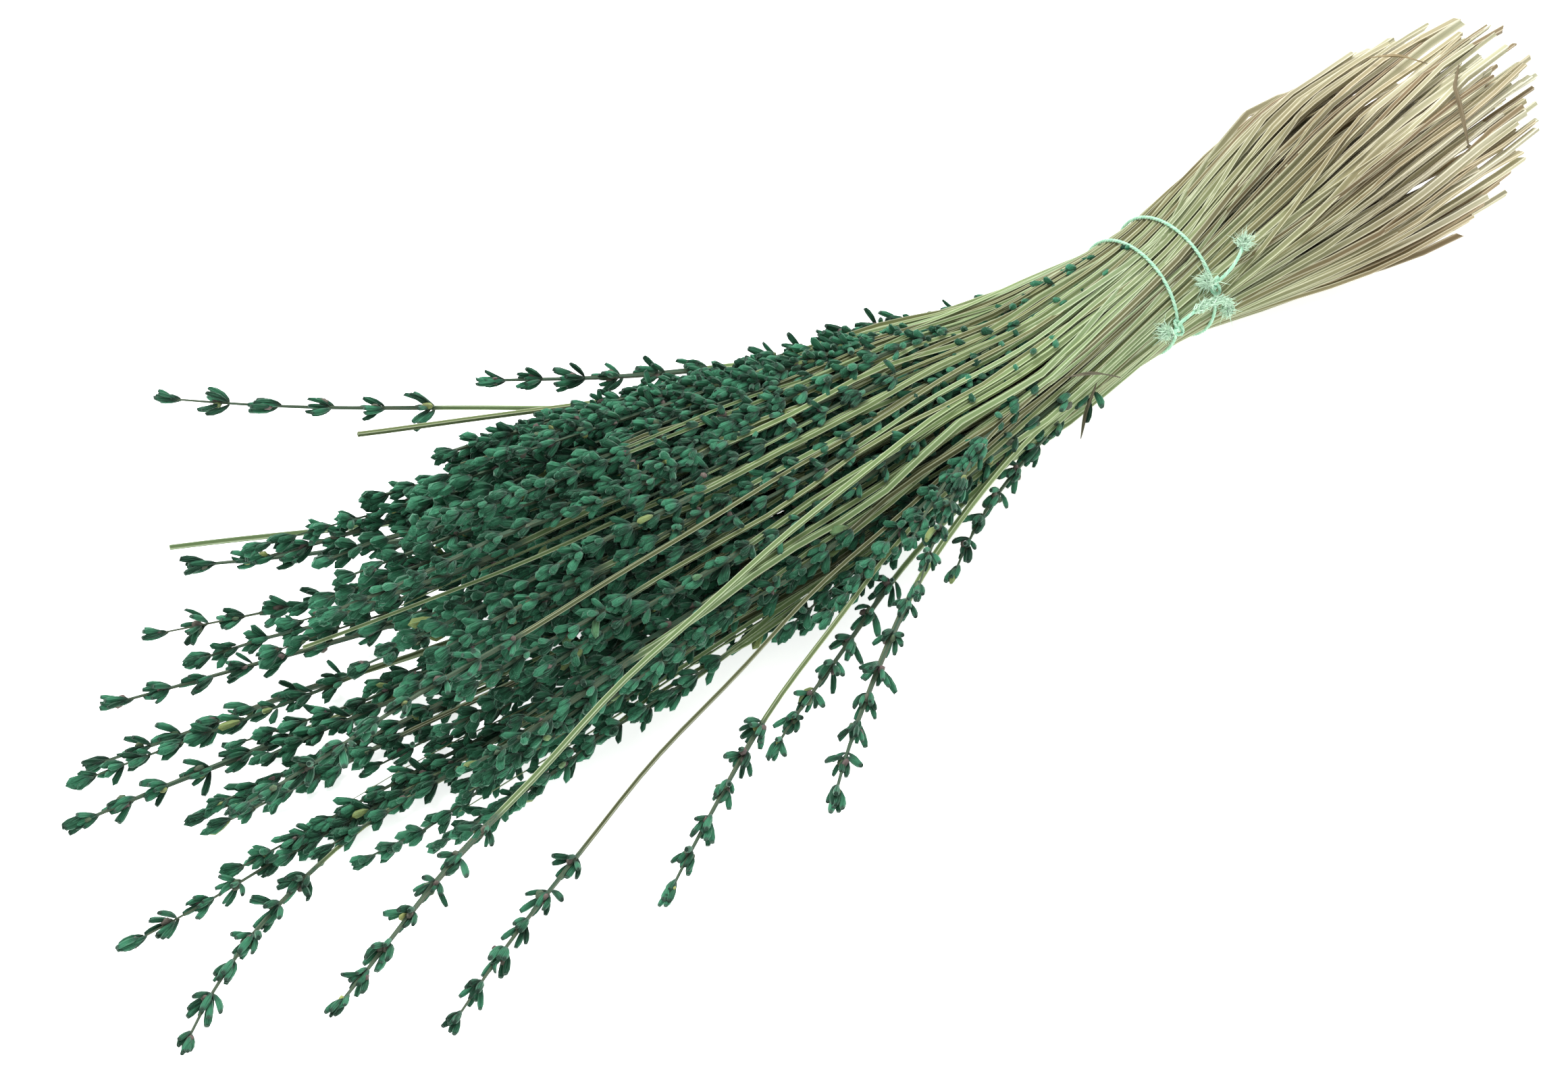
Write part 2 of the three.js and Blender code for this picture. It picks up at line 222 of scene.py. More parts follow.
# %% Faces of a closed tube
def tube_faces(rings, sides):
    """Corner indices and face sizes: pole, then rings of sides, then pole, all facing out."""
    ring, side = np.meshgrid(np.arange(rings - 1), np.arange(sides), indexing="ij")
    a = 1 + ring * sides + side
    b = 1 + ring * sides + (side + 1) % sides
    quads = np.stack([a, b, b + sides, a + sides], -1).reshape(-1, 4)
    k = np.arange(sides)
    after = (k + 1) % sides
    top = 1 + (rings - 1) * sides
    start = np.stack([np.zeros_like(k), 1 + after, 1 + k], -1)
    end = np.stack([np.full_like(k, top + sides), top + k, top + after], -1)
    corners = np.concatenate([quads.ravel(), start.ravel(), end.ravel()])
    sizes = np.concatenate([np.full(len(quads), 4), np.full(2 * sides, 3)])
    return corners, sizes


def tube_map(rings, sides):
    """Each face corner's share of the way round and along, without a fold at the seam."""
    ring, side = np.meshgrid(np.arange(rings - 1), np.arange(sides), indexing="ij")
    round_quad = np.stack([side, side + 1, side + 1, side], -1).ravel() / sides
    along_quad = np.stack([ring, ring, ring + 1, ring + 1], -1).ravel() + 1
    k = np.arange(sides)
    round_start = np.stack([k + 0.5, k + 1, k], -1).ravel() / sides
    round_end = np.stack([k + 0.5, k, k + 1], -1).ravel() / sides
    along_start = np.tile([0, 1, 1], sides)
    along_end = np.tile([rings + 1, rings, rings], sides)
    u = np.concatenate([round_quad, round_start, round_end])
    v = np.concatenate([along_quad, along_start, along_end]) / (rings + 1)
    return np.stack([u, v], -1)


print("a calyx of 6 rings and 8 sides has", len(tube_faces(6, 8)[1]), "faces")


# %% Directions and rings
def unit(vectors):
    """Vectors brought to length 1."""
    return vectors / np.linalg.norm(vectors, axis=-1, keepdims=True)


def crosswise(along, reference=(0.0, 0.0, 1.0)):
    """Two directions across a line: sideways, which is across the reference too, and up."""
    side = unit(np.cross(along, reference))
    return side, np.cross(side, along)


def angles_of(sides):
    """The angles of a ring's points, evenly round."""
    return 2 * np.pi * np.arange(sides) / sides


def section(centre, side, up, x, y):
    """Rings of points: the centre plus x times sideways plus y times up."""
    return centre[..., None, :] + x[..., None] * side[..., None, :] + y[..., None] * up[..., None, :]


# %% A batch of tubes
GRAIN_OFFSET = 37.0  # between the grain of a tint of 0 and that of a tint of 1


def with_poles(rings, start, end):
    """(items, rings, sides, 3) as vertices, with a pole point before and after."""
    items = rings.shape[0]
    return np.concatenate([start[:, None], rings.reshape(items, -1, 3), end[:, None]], 1)


def batch(rings, start, end, along, tint, paint, length_grain, long=False):
    """Everything that the mesh needs of a set of like tubes.

    The grain of a vertex is (cos, sin) of its angle, and its distance along times a scale plus a
    random offset, so that no two items share a pattern."""
    items, ring_count, sides, _ = rings.shape
    angle = angles_of(sides)
    shape = (items, ring_count, sides)
    offset = GRAIN_OFFSET * np.asarray(tint)[:, None, None]
    height = np.broadcast_to(along[..., None], shape)
    grain = np.stack([
        np.broadcast_to(np.cos(angle), shape),
        np.broadcast_to(np.sin(angle), shape),
        height * length_grain + offset,
    ], -1)
    points = with_poles(rings, start, end)
    heights = np.concatenate([height[:, 0, :1], height.reshape(items, -1), height[:, -1, :1]], 1)
    edge = np.concatenate([[0.5], np.tile(np.arange(sides) % 2 == 0, ring_count), [0.5]])
    return {
        "points": points,
        "along": heights,
        "edge": np.tile(edge.astype(float), (items, 1)),
        "tint": np.repeat(np.asarray(tint)[:, None], points.shape[1], 1),
        "grain": with_poles(grain, grain[:, 0].mean(1), grain[:, -1].mean(1)),
        "rings": ring_count,
        "sides": sides,
        "paint": paint,
        "long": long,
    }


# %% [markdown]
# A texture bake wants every item on its own patch of the map. Thousands of calyces would unwrap
# into dust, so the map is laid out here: long items are upright strips on the left, and short ones
# fill a grid of cells on the right.


# %% The bake map
STRIP_SHARE = 0.3  # of the map's width, for long items
CELL_MARGIN = 0.06
NARROWEST = 0.01  # share of the map's width that either part keeps


def cells(count, left, right, long):
    """Lower left corner and size of each item's cell: one row of strips, or a square grid."""
    columns = count if long else max(1, round(math.sqrt(count * (right - left))))
    rows = math.ceil(count / columns)
    index = np.arange(count)
    size = np.array([(right - left) / columns, 1 / rows])
    corner = np.stack([index % columns, index // columns], -1) * size + [left, 0]
    return corner, size


def bake_map(batches):
    """The map of a piece: each batch's own tube map, shrunk into its items' cells."""
    totals = {long: sum(len(b["points"]) for b in batches if b["long"] == long)
              for long in (True, False)}
    split = STRIP_SHARE if totals[True] and totals[False] else float(totals[True] > 0)
    table = {True: cells(max(1, totals[True]), 0, max(split, NARROWEST), True),
             False: cells(max(1, totals[False]), min(split, 1 - NARROWEST), 1, False)}
    used = {True: 0, False: 0}
    maps = []
    for b in batches:
        corner, size = table[b["long"]]
        count = len(b["points"])
        mine = corner[used[b["long"]]:used[b["long"]] + count]
        used[b["long"]] += count
        inner = CELL_MARGIN + (1 - 2 * CELL_MARGIN) * tube_map(b["rings"], b["sides"])
        maps.append((mine[:, None] + inner[None] * size).reshape(-1, 2))
    return np.concatenate(maps)


# %% Write batches into a mesh
SHARP_ANGLE = math.radians(48)  # the edges of a square stem stay sharp, a calyx is round


def add_values(mesh, name, kind, values):
    """A named value on every vertex, for the materials."""
    attribute = mesh.attributes.new(name, kind, "POINT")
    field = "vector" if kind == "FLOAT_VECTOR" else "value"
    attribute.data.foreach_set(field, np.ascontiguousarray(values, np.float32).ravel())


def link(name, data):
    """A new object in the scene, at the origin."""
    made = bpy.data.objects.new(name, data)
    bpy.context.scene.collection.objects.link(made)
    return made


def build(name, batches, materials):
    """One object at the origin from batches in the layout's millimetres."""
    corners, sizes, paints, offset = [], [], [], 0
    for b in batches:
        item_corners, item_sizes = tube_faces(b["rings"], b["sides"])
        items, count = b["points"].shape[:2]
        first = offset + count * np.arange(items)[:, None]
        corners.append((first + item_corners).ravel())
        sizes.append(np.tile(item_sizes, items))
        paints.append(np.full(items * len(item_sizes), b["paint"]))
        offset += items * count
    corners, sizes, paints = map(np.concatenate, (corners, sizes, paints))
    points = np.concatenate([b["points"].reshape(-1, 3) for b in batches])
    mesh = bpy.data.meshes.new(name)
    mesh.vertices.add(len(points))
    mesh.vertices.foreach_set("co", ((points + SHIFT) * MM).astype(np.float32).ravel())
    mesh.loops.add(len(corners))
    mesh.loops.foreach_set("vertex_index", corners.astype(np.int32))
    mesh.polygons.add(len(sizes))
    starts = np.cumsum(sizes) - sizes
    mesh.polygons.foreach_set("loop_start", starts.astype(np.int32))
    mesh.polygons.foreach_set("material_index", paints.astype(np.int32))
    mesh.update(calc_edges=True)
    mesh.validate()
    for value in ("along", "tint", "edge"):
        add_values(mesh, value, "FLOAT", np.concatenate([b[value].ravel() for b in batches]))
    grain = np.concatenate([b["grain"].reshape(-1, 3) for b in batches])
    add_values(mesh, "grain", "FLOAT_VECTOR", grain)
    uv = mesh.uv_layers.new(name="OFBake")
    uv.data.foreach_set("uv", bake_map(batches).astype(np.float32).ravel())
    mesh.shade_smooth()
    mesh.set_sharp_from_angle(angle=SHARP_ANGLE)
    for material in materials:
        mesh.materials.append(material)
    return link(name, mesh)


def triangles(made):
    """How many triangles an object's faces make."""
    return len(made.data.loops) - 2 * len(made.data.polygons)


# %% [markdown]
# ## Colours and materials
# All finishes are matt and vary along the plant, so each is a small node tree on the vertex values.
# Two helpers keep the trees short: one adds a node with its inputs, one a colour ramp.


# %% Node helpers
def colour(text):
    """A display colour such as 3c8c69 as linear red, green, blue and alpha."""
    display = np.array([int(text[i:i + 2], 16) for i in (0, 2, 4)]) / 255
    linear = np.where(display <= 0.04045, display / 12.92, ((display + 0.055) / 1.055) ** 2.4)
    return (*linear.tolist(), 1.0)


def fill(target, inputs):
    """Sets a node's inputs: a socket is linked, anything else is its value."""
    for key, value in inputs.items():
        if isinstance(value, bpy.types.NodeSocket):
            target.id_data.links.new(value, target.inputs[key])
        else:
            target.inputs[key].default_value = value


def add(tree, kind, inputs, **settings):
    """A new node of a kind with its settings and inputs."""
    made = tree.nodes.new("ShaderNode" + kind)
    for key, value in settings.items():
        setattr(made, key, value)
    fill(made, inputs)
    return made


def value_of(tree, name):
    """The socket of a vertex value: a number, or a vector for the grain."""
    made = add(tree, "Attribute", {}, attribute_name=name)
    return made.outputs["Vector" if name == "grain" else "Fac"]


def ramp_of(tree, factor, stops):
    """Colours between stops, each a place from 0 to 1 and a display colour."""
    made = add(tree, "ValToRGB", {"Fac": factor})
    elements = made.color_ramp.elements
    while len(elements) < len(stops):
        elements.new(0.5)
    for element, (at, text) in zip(elements, stops):
        element.position = at
        element.color = colour(text)
    return made.outputs["Color"]


def mix(tree, factor, a, b, blend="MIX"):
    """Colour a turned into b by the factor."""
    made = add(tree, "Mix", {}, data_type="RGBA", blend_type=blend)
    for socket, value in ((0, factor), (6, a), (7, b)):
        if isinstance(value, bpy.types.NodeSocket):
            tree.links.new(value, made.inputs[socket])
        else:
            made.inputs[socket].default_value = value
    return made.outputs[2]


def noise(tree, vector, scale, detail=2.0, stretch=(1, 1, 1)):
    """A noise from 0 to 1 on a vector that is first stretched along its axes."""
    mapped = add(tree, "Mapping", {"Vector": vector, "Scale": stretch})
    made = add(tree, "TexNoise", {"Vector": mapped.outputs[0], "Scale": scale, "Detail": detail})
    return made.outputs["Fac"]


def span(tree, value, low, high, to_low=0.0, to_high=1.0):
    """A value from low to high carried over to another range, clamped."""
    inputs = {0: value, 1: low, 2: high, 3: to_low, 4: to_high}
    return add(tree, "MapRange", inputs).outputs[0]


def start_material(name, surface):
    """A material, its node tree and its shader, with the finish's plain values on the sockets."""
    made = bpy.data.materials.new(name)
    made.use_nodes = True
    shader = made.node_tree.nodes["Principled BSDF"]
    fill(shader, surface)
    return made, made.node_tree, shader


def stain(tree, under, text, value, low, high, most=1.0):
    """A colour that turns into a display colour, at most so far, as a value goes from low to high."""
    return mix(tree, span(tree, value, low, high, 0.0, most), under, colour(text))


def finish(tree, shader, base, roughness, height, depth):
    """Colour and roughness, and a relief: a height from 0 to 1 times a depth in millimetres."""
    bumped = add(tree, "Bump", {"Height": height, "Distance": depth * MM, "Strength": 1.0})
    fill(shader, {"Base Color": base, "Roughness": roughness, "Normal": bumped.outputs[0]})


print("a mid green is", np.round(colour("3c8c69")[:3], 3).tolist(), "in linear light")

# %% [markdown]
# ### The calyx
# What looks like a lavender flower on a dried spike is the calyx, a ribbed, downy tube. The dye has
# gone deep green on the belly and stayed brown at the foot, and the down catches light like felt.
# Sheen gives that felt. The ribs are a noise drawn out along the tube, since thirteen modelled ribs
# on thousands of calyces would cost more faces than the whole bunch may have.

# %% Calyx and bract finishes
DOWN = {
    "Specular IOR Level": 0.15,
    "Sheen Weight": 0.6,
    "Sheen Roughness": 0.35,
    "Sheen Tint": colour("b9dcc8"),
}


def calyx_finish():
    """Green along the tube, ribbed, with painted highlight on the ribs and painted shade between them,
    each calyx a little lighter, darker, bluer or browner.
    """
    made, tree, shader = start_material("dyed_calyx", DOWN)
    along, tint, grain = (value_of(tree, name) for name in ("along", "tint", "grain"))
    ribs = noise(tree, grain, 4.5, 3.0, (1, 1, 0.3))
    body = ramp_of(tree, along, [
        (0.0, "5a504a"), (0.10, "3c463a"), (0.3, "274f3f"),
        (0.65, "387858"), (0.9, "3a785c"), (1.0, "33463c"),
    ])
    shade = ramp_of(tree, tint, [(0.0, "5c6864"), (0.45, "b2beb9"), (0.9, "ffffff")])
    shaded = mix(tree, 1.0, body, shade, "MULTIPLY")
    aged = stain(tree, shaded, "7f8c55", tint, 0.99, 0.996)
    # Painted highlight: the raised ribs of the relief are lightened towards a pale green, as if lit.
    painted_rib_highlight = stain(tree, aged, "5f9f80", ribs, 0.5, 0.75, 0.4)
    # Painted shade: the grooves between the ribs, where the relief is low, are darkened towards a
    # near-black green.
    base = stain(tree, painted_rib_highlight, "1b2a24", ribs, 0.5, 0.25, 0.5)
    finish(tree, shader, base, span(tree, ribs, 0.3, 0.7, 0.95, 0.75), ribs, 0.2)
    return made


def bract_finish():
    """The papery scales under a whorl: purple-brown, some grey-green, a few yellow-green."""
    made, tree, shader = start_material("dry_bract", {"Specular IOR Level": 0.2})
    along, tint, grain = (value_of(tree, name) for name in ("along", "tint", "grain"))
    veins = noise(tree, grain, 4.0, 2.0, (1, 1, 0.2))
    kind = ramp_of(tree, tint, [
        (0.0, "5a4950"), (0.35, "6b5c5c"), (0.6, "3f5f4a"), (0.85, "4a6a4c"), (0.98, "a7b264"),
    ])
    tipped = stain(tree, kind, "3b3a33", along, 0.6, 1.0, 0.5)
    base = stain(tree, tipped, "7f7a68", veins, 0.35, 0.7, 0.5)
    finish(tree, shader, base, 0.85, veins, 0.2)
    return made


# %% [markdown]
# ### The stems
# A lavender stem is square, with a raised pale edge at each corner and a hollow darker face between
# them. The colour makes the edges paler still, a painted highlight, and the faces darker still, a
# painted shade. It dries from green at the spike through yellow-green at the neck to straw at the cut
# end.

# %% Stem finish
STEM_COLOURS_FROM, STEM_COLOURS_TO = -180.0, 320.0  # distances that the colour ramp spans
DYED = 600.0  # added to `along` within the spike, where the dye has reached the stem
DYE_SHOWS = 450.0  # value of `along` from which the dye starts to show


def stem_finish():
    """Pale edges with a painted highlight and darker faces with a painted shade, green to straw along
    the stem, each stem a shade of its own.
    """
    made, tree, shader = start_material("dried_stem", {"Specular IOR Level": 0.3})
    along, tint, grain, edge = (value_of(tree, n) for n in ("along", "tint", "grain", "edge"))
    way = span(tree, along, STEM_COLOURS_FROM, STEM_COLOURS_TO)
    dyed = span(tree, along, DYE_SHOWS, DYED)
    length = ramp_of(tree, way, [
        (0.0, "fff6ee"), (0.10, "fff0e4"), (0.2, "bfae99"), (0.34, "b2bb9a"),
        (0.42, "b9ccab"), (0.52, "b0c89a"), (0.68, "98b481"), (1.0, "789568"),
    ])
    own = ramp_of(tree, tint, [
        (0.0, "a8907c"), (0.15, "dac6b2"), (0.4, "f2efe0"), (0.65, "fafcf2"), (1.0, "ffffff"),
    ])
    shaded = mix(tree, 1.0, length, own, "MULTIPLY")
    streaks = noise(tree, grain, 2.6, 4.0, (1.4, 1.4, 0.35))
    browned = stain(tree, shaded, "8c7a58", streaks, 0.56, 0.76, 0.45)
    fibres = noise(tree, grain, 9.0, 3.0, (1.5, 1.5, 0.12))
    # Painted shade, partly the face's own darker colour: the hollow faces between the corners are
    # darkened.
    hollow = mix(tree, 1.0, browned, colour("c0c6b2"), "MULTIPLY")
    lined = stain(tree, hollow, "6d7255", fibres, 0.52, 0.3, 0.6)
    # Painted highlight, partly the corner's own paler colour: the raised corners are lightened towards
    # a pale cream.
    raised = mix(tree, 0.4, browned, colour("eaf0d2"))
    plain = mix(tree, span(tree, edge, 0.5, 0.96), lined, raised)
    green = stain(tree, colour("33513f"), "57604a", streaks, 0.4, 0.6)
    base = mix(tree, dyed, plain, green)
    finish(tree, shader, base, span(tree, fibres, 0.3, 0.7, 0.55, 0.8), fibres, 0.12)
    return made


# %% [markdown]
# ### String and leaves
# The string is dyed cotton, so it has a faint nap, and the fibres that stand off it are painted paler,
# a painted glow of light shining through them. The leaves are thin, dull and almost black where the
# dye has reached them.

# %% String and leaf finishes
def cotton_finish():
    """Mint cotton: fine fibres along each strand, a little darker in patches, and the frayed fibres
    painted paler as a painted glow.
    """
    surface = {"Specular IOR Level": 0.1, "Sheen Weight": 0.3, "Sheen Tint": colour("e6fff2")}
    made, tree, shader = start_material("mint_cotton", surface)
    tint, grain = value_of(tree, "tint"), value_of(tree, "grain")
    fibres = noise(tree, grain, 6.0, 3.0, (1, 1, 0.6))
    patch = noise(tree, grain, 0.7, 1.0)
    dye = stain(tree, colour("a5dcbe"), "b4e2c4", patch, 0.35, 0.7)
    # Painted light: the frayed fibres, and by half the third strand, are lightened as if light shone
    # through them.
    pale = stain(tree, dye, "d8f6dc", tint, 0.4, 0.6)
    base = stain(tree, pale, "84c4a4", fibres, 0.5, 0.25, 0.35)
    finish(tree, shader, base, 0.92, fibres, 0.15)
    return made


def leaf_finish():
    """A dull dry leaf with a paler midrib and a cracked, mottled blade."""
    made, tree, shader = start_material("dry_leaf", {"Specular IOR Level": 0.25})
    along, tint, grain, edge = (value_of(tree, n) for n in ("along", "tint", "grain", "edge"))
    mottle = noise(tree, grain, 2.2, 4.0, (1, 1, 0.5))
    blade = ramp_of(tree, tint, [(0.0, "38342c"), (0.45, "4a473a"), (0.8, "6b5a40"), (1.0, "a08d68")])
    patched = stain(tree, blade, "77705a", mottle, 0.4, 0.7, 0.6)
    tipped = stain(tree, patched, "2c2a24", along, 0.75, 1.0, 0.5)
    base = stain(tree, tipped, "9a9478", edge, 0.0, 1.0, 0.25)
    finish(tree, shader, base, span(tree, mottle, 0.3, 0.7, 0.6, 0.85), mottle, 0.25)
    return made


calyx_paint = calyx_finish()
bract_paint = bract_finish()
stem_paint = stem_finish()
cotton_paint = cotton_finish()
leaf_paint = leaf_finish()
STALK_PAINTS = [stem_paint, calyx_paint, bract_paint]
STEM, CALYX, BRACT = range(3)
print("finishes:", [paint.name for paint in bpy.data.materials])

# %% [markdown]
# ## Growing a stalk
# A group of stalks is a dictionary of arrays, one number for each stalk, and every step below works
# on the whole group. The route is the layout's, with a slow sway that a real stem has.


# %% Stalk routes and frames
USUAL_STALK = {
    "spread": 1.0, "start": STRAY_START, "share": 1.0, "slip": 0.0, "slip_tail": 0.0,
    "swell": 0.0, "tight": 1.0, "bare": False,
}


def stalk_group(seeds, **given):
    """One array entry for each stalk; what is given once holds for all of them.

    Unless given, the share of the size is the same in the fan and in the tail as at the neck."""
    seeds = np.atleast_1d(seeds)
    values = {**USUAL_STALK, **given}
    values = {"share_fan": values["share"], "share_tail": values["share"], **values}
    group = {key: np.broadcast_to(value, seeds.shape).copy() for key, value in values.items()}
    return {"seed": seeds, **group}


SHARE_START = 20  # from the neck, where a stalk starts to change its share of the bunch's size
SHARE_END = 170
SLIP_REACH = 60
TIE_PLACES = (15.5, -2.8)  # where the strings cross the near side
PINCH = 6.0  # a string presses the stems in over this length
SWAY_LENGTHS = (92.0, 127.0)  # of its two waves, sideways and up
TIGHT_REACH = 60  # the string holds a stalk's sway down this far to either side


def column(values):
    """A stalk's own numbers, ready to meet the distances s along it."""
    return np.asarray(values)[:, None]


def route(group, s):
    """Centres of the stalks at s, an array of (stalks, stations): the layout plus a sway.

    The sway is two sine waves, held down at the neck by 1 - exp(-(s / reach)^2)."""
    out = smooth(s, SHARE_START, SHARE_END)
    back = smooth(-s, SHARE_START, SHARE_END)
    share = column(group["share"])
    share = (share + out * (column(group["share_fan"]) - share)
             + back * (column(group["share_tail"]) - share))
    pinch = sum(np.exp(-(((s - at) / PINCH) ** 2)) for at in TIE_PLACES)
    share = share + column(group["swell"]) / NECK_HALF_WIDTH * np.clip(1 - pinch, 0, 1)
    slip = np.where(s > 0, column(group["slip"]), -column(group["slip_tail"]))
    around = column(group["around"]) + slip * np.tanh(s / SLIP_REACH)
    centre = place(s, share, around, *(column(group[key]) for key in ("spread", "reach", "start")))
    held = 1 - column(group["tight"]) * np.exp(-((s / TIGHT_REACH) ** 2))
    for axis, (wave, salt) in enumerate(zip(SWAY_LENGTHS, (21, 22)), start=1):
        phase = 2 * np.pi * (s / wave + column(chance(group["seed"], salt)))
        centre[..., axis] += column(group["sway"]) * held * np.sin(phase)
    return centre


def stalk_frames(group, s):
    """Centre, direction towards the tip, sideways and up, at each s of each stalk."""
    along = unit(route(group, s + 1) - route(group, s - 1))
    return route(group, s), along, *crosswise(along)


# %% [markdown]
# The stem is a square tube. Its section has eight points: four corners and, between them, four
# points drawn in, which makes the hollow faces. Towards the cut the dry stems have been pressed
# flat, some into ribbons, and the knife has left each with a slanting end.

# %% Stems
TIP_RADIUS = 0.4
FACE_HOLLOW = 0.64  # a face's middle, as a share of the corner's distance from the centre
STEM_SIDES = 8
STEM_TURN = 0.004  # radians per mm that a dried stem twists, at most
RING_STATIONS = 48
TOP_GAP = 3.0  # a whorl's calyces spring from the stem this far below the whorl's widest place
FLAT_START, FLAT_END = 25, 120  # from the neck, where a stem turns flat
THINNEST = 0.35  # a flat stem's thickness, as a share of the square one's
WIDEST = 1.45
CUT_SLANT = 4.5  # mm that the far side of a cut end stands out, at most
DYE_START, DYE_END = -14, 4  # from the lowest whorl, where the dye fades in
STEM_GRAIN = 0.02  # of the noise along a stem, for each mm
LOWEST = 0.1 - SHIFT[2]  # nothing goes below this height of the layout, just over the surface


def over_floor(made):
    """A batch with everything that would lie below the surface lifted up to it."""
    made["points"][..., 2] = np.maximum(made["points"][..., 2], LOWEST)
    return made


def stem_radius(group, s, lowest):
    """Straight tapers: from the cut to the neck, to the lowest whorl, and to the tip."""
    tail, reach = column(group["tail"]), column(group["reach"])
    below = NECK_RADIUS + (CUT_RADIUS - NECK_RADIUS) * np.clip(-s / tail, 0, 1)
    stem = NECK_RADIUS + (SPIKE_RADIUS - NECK_RADIUS) * np.clip(s / lowest, 0, 1)
    spike = (TIP_RADIUS - SPIKE_RADIUS) * np.clip((s - lowest) / (reach - lowest), 0, 1)
    return column(group["thick"]) * np.where(s < 0, below, stem + np.where(s > lowest, spike, 0))


def stems(group, top, lowest, stations):
    """The stems of a group, each from its cut end to its top, as one batch.

    The section is turned by a roll of the stem's own, then squeezed across the roll and widened
    along it by its flatness, and the first ring is slid along the stem by a cosine: the cut."""
    way = np.linspace(0, 1, stations)[None]
    s = -column(group["tail"]) + way * (column(top) + column(group["tail"]))
    centre, along, side, up = stalk_frames(group, s)
    radius = stem_radius(group, s, column(lowest))
    seed = group["seed"]
    roll = 2 * np.pi * column(chance(seed, 25)) + STEM_TURN * (2 * column(chance(seed, 23)) - 1) * s
    flat = smooth(-s, FLAT_START, FLAT_END) * column(chance(seed, 26)) ** 1.5
    wide = (radius * (1 + (WIDEST - 1) * flat))[..., None]
    thin = (radius * (1 + (THINNEST - 1) * flat))[..., None]
    angle = angles_of(STEM_SIDES) + np.pi / 4
    hollow = np.where(np.arange(STEM_SIDES) % 2 == 0, 1.0, FACE_HOLLOW)
    x = hollow * np.cos(angle) * wide
    y = hollow * np.sin(angle) * thin
    cos, sin = np.cos(roll[..., None]), np.sin(roll[..., None])
    rings = section(centre, side, up, x * cos - y * sin, x * sin + y * cos)
    slant = column(CUT_SLANT * chance(seed, 27) ** 2) * (1 + np.cos(angle)) / 2
    rings[:, 0] -= slant[..., None] * along[:, :1]
    spike = smooth(s, column(lowest) + DYE_START, column(lowest) + DYE_END)
    value = s + DYED * spike * ~column(group["bare"])
    return over_floor(batch(rings, rings[:, 0].mean(1), centre[:, -1], value, chance(seed, 24),
                            STEM, STEM_GRAIN, long=True))


print("a stem's corner is", CUT_RADIUS, "mm from its middle at the cut end")

# %% [markdown]
# Calyces and bracts sit in whorls. All of them are one closed club shape, thin at the foot and
# fullest above the middle: a calyx is long and round with a blunt open mouth, a bract short and
# flat. Their place, tilt, length and bend are drawn at random round typical values.


# %% Where the whorls stand
TIP_LENGTH = 4.0  # from the highest whorl to the tip


def whorl_heights(group, fewest, extra, step, growth, scatter):
    """Distances from the neck of each stalk's whorls, tip first, and which of them exist.

    The step grows from one whorl to the next down the spike, plus a scatter."""
    k = np.arange(1, fewest + extra)[None]
    steps = step + growth * k + scatter * chance(column(group["seed"]), 10 + k)
    first = np.full((len(steps), 1), TIP_LENGTH)
    distance = np.cumsum(np.concatenate([first, steps], 1), 1)
    count = fewest + np.floor((extra + 1) * chance(group["seed"], 3))
    exists = np.arange(fewest + extra)[None] < column(count)
    return column(group["reach"]) - distance, exists


WHORL_SIZES = (0.9, 1.1)
WHORL_OPENNESS = (0.75, 1.15)  # times the tilt
TIP_OPENNESS = 0.5  # the same for the whorl at the tip, which stays closed


def whorl_nodes(group, heights, exists, lowest, rng):
    """The places on the stems from which whorls spring, as flat arrays of those that exist."""
    centre, along, side, up = stalk_frames(group, heights - TOP_GAP)
    radius = stem_radius(group, heights, column(lowest))
    chosen = exists & ~column(group["bare"])
    topmost = np.zeros(exists.shape, bool)
    topmost[:, 0] = True
    nodes = {"centre": centre, "along": along, "side": side, "up": up, "radius": radius}
    nodes = {key: value[chosen] for key, value in nodes.items()}
    nodes["size"] = rng.uniform(*WHORL_SIZES, chosen.sum())
    openness = rng.uniform(*WHORL_OPENNESS, chosen.sum())
    nodes["open"] = np.where(topmost[chosen], TIP_OPENNESS, openness)
    return nodes


# %% Calyces and bracts
TURN_SCATTER = 0.25  # radians
SIZE_RANGE = (0.84, 1.14)
WIDTH_RANGE = (0.85, 1.15)
BEND_SCATTER = 0.15
FOOT_DEPTH = 0.7  # share of the stem's radius at which a calyx or bract springs
BODY_GRAIN = 1.5


def club(t, belly, blunt):
    """Half the width at the share t of the length: t to the power of belly, less a share of t^4."""
    shape = t ** belly * (1 - blunt * t ** 4)
    return shape / shape.max()


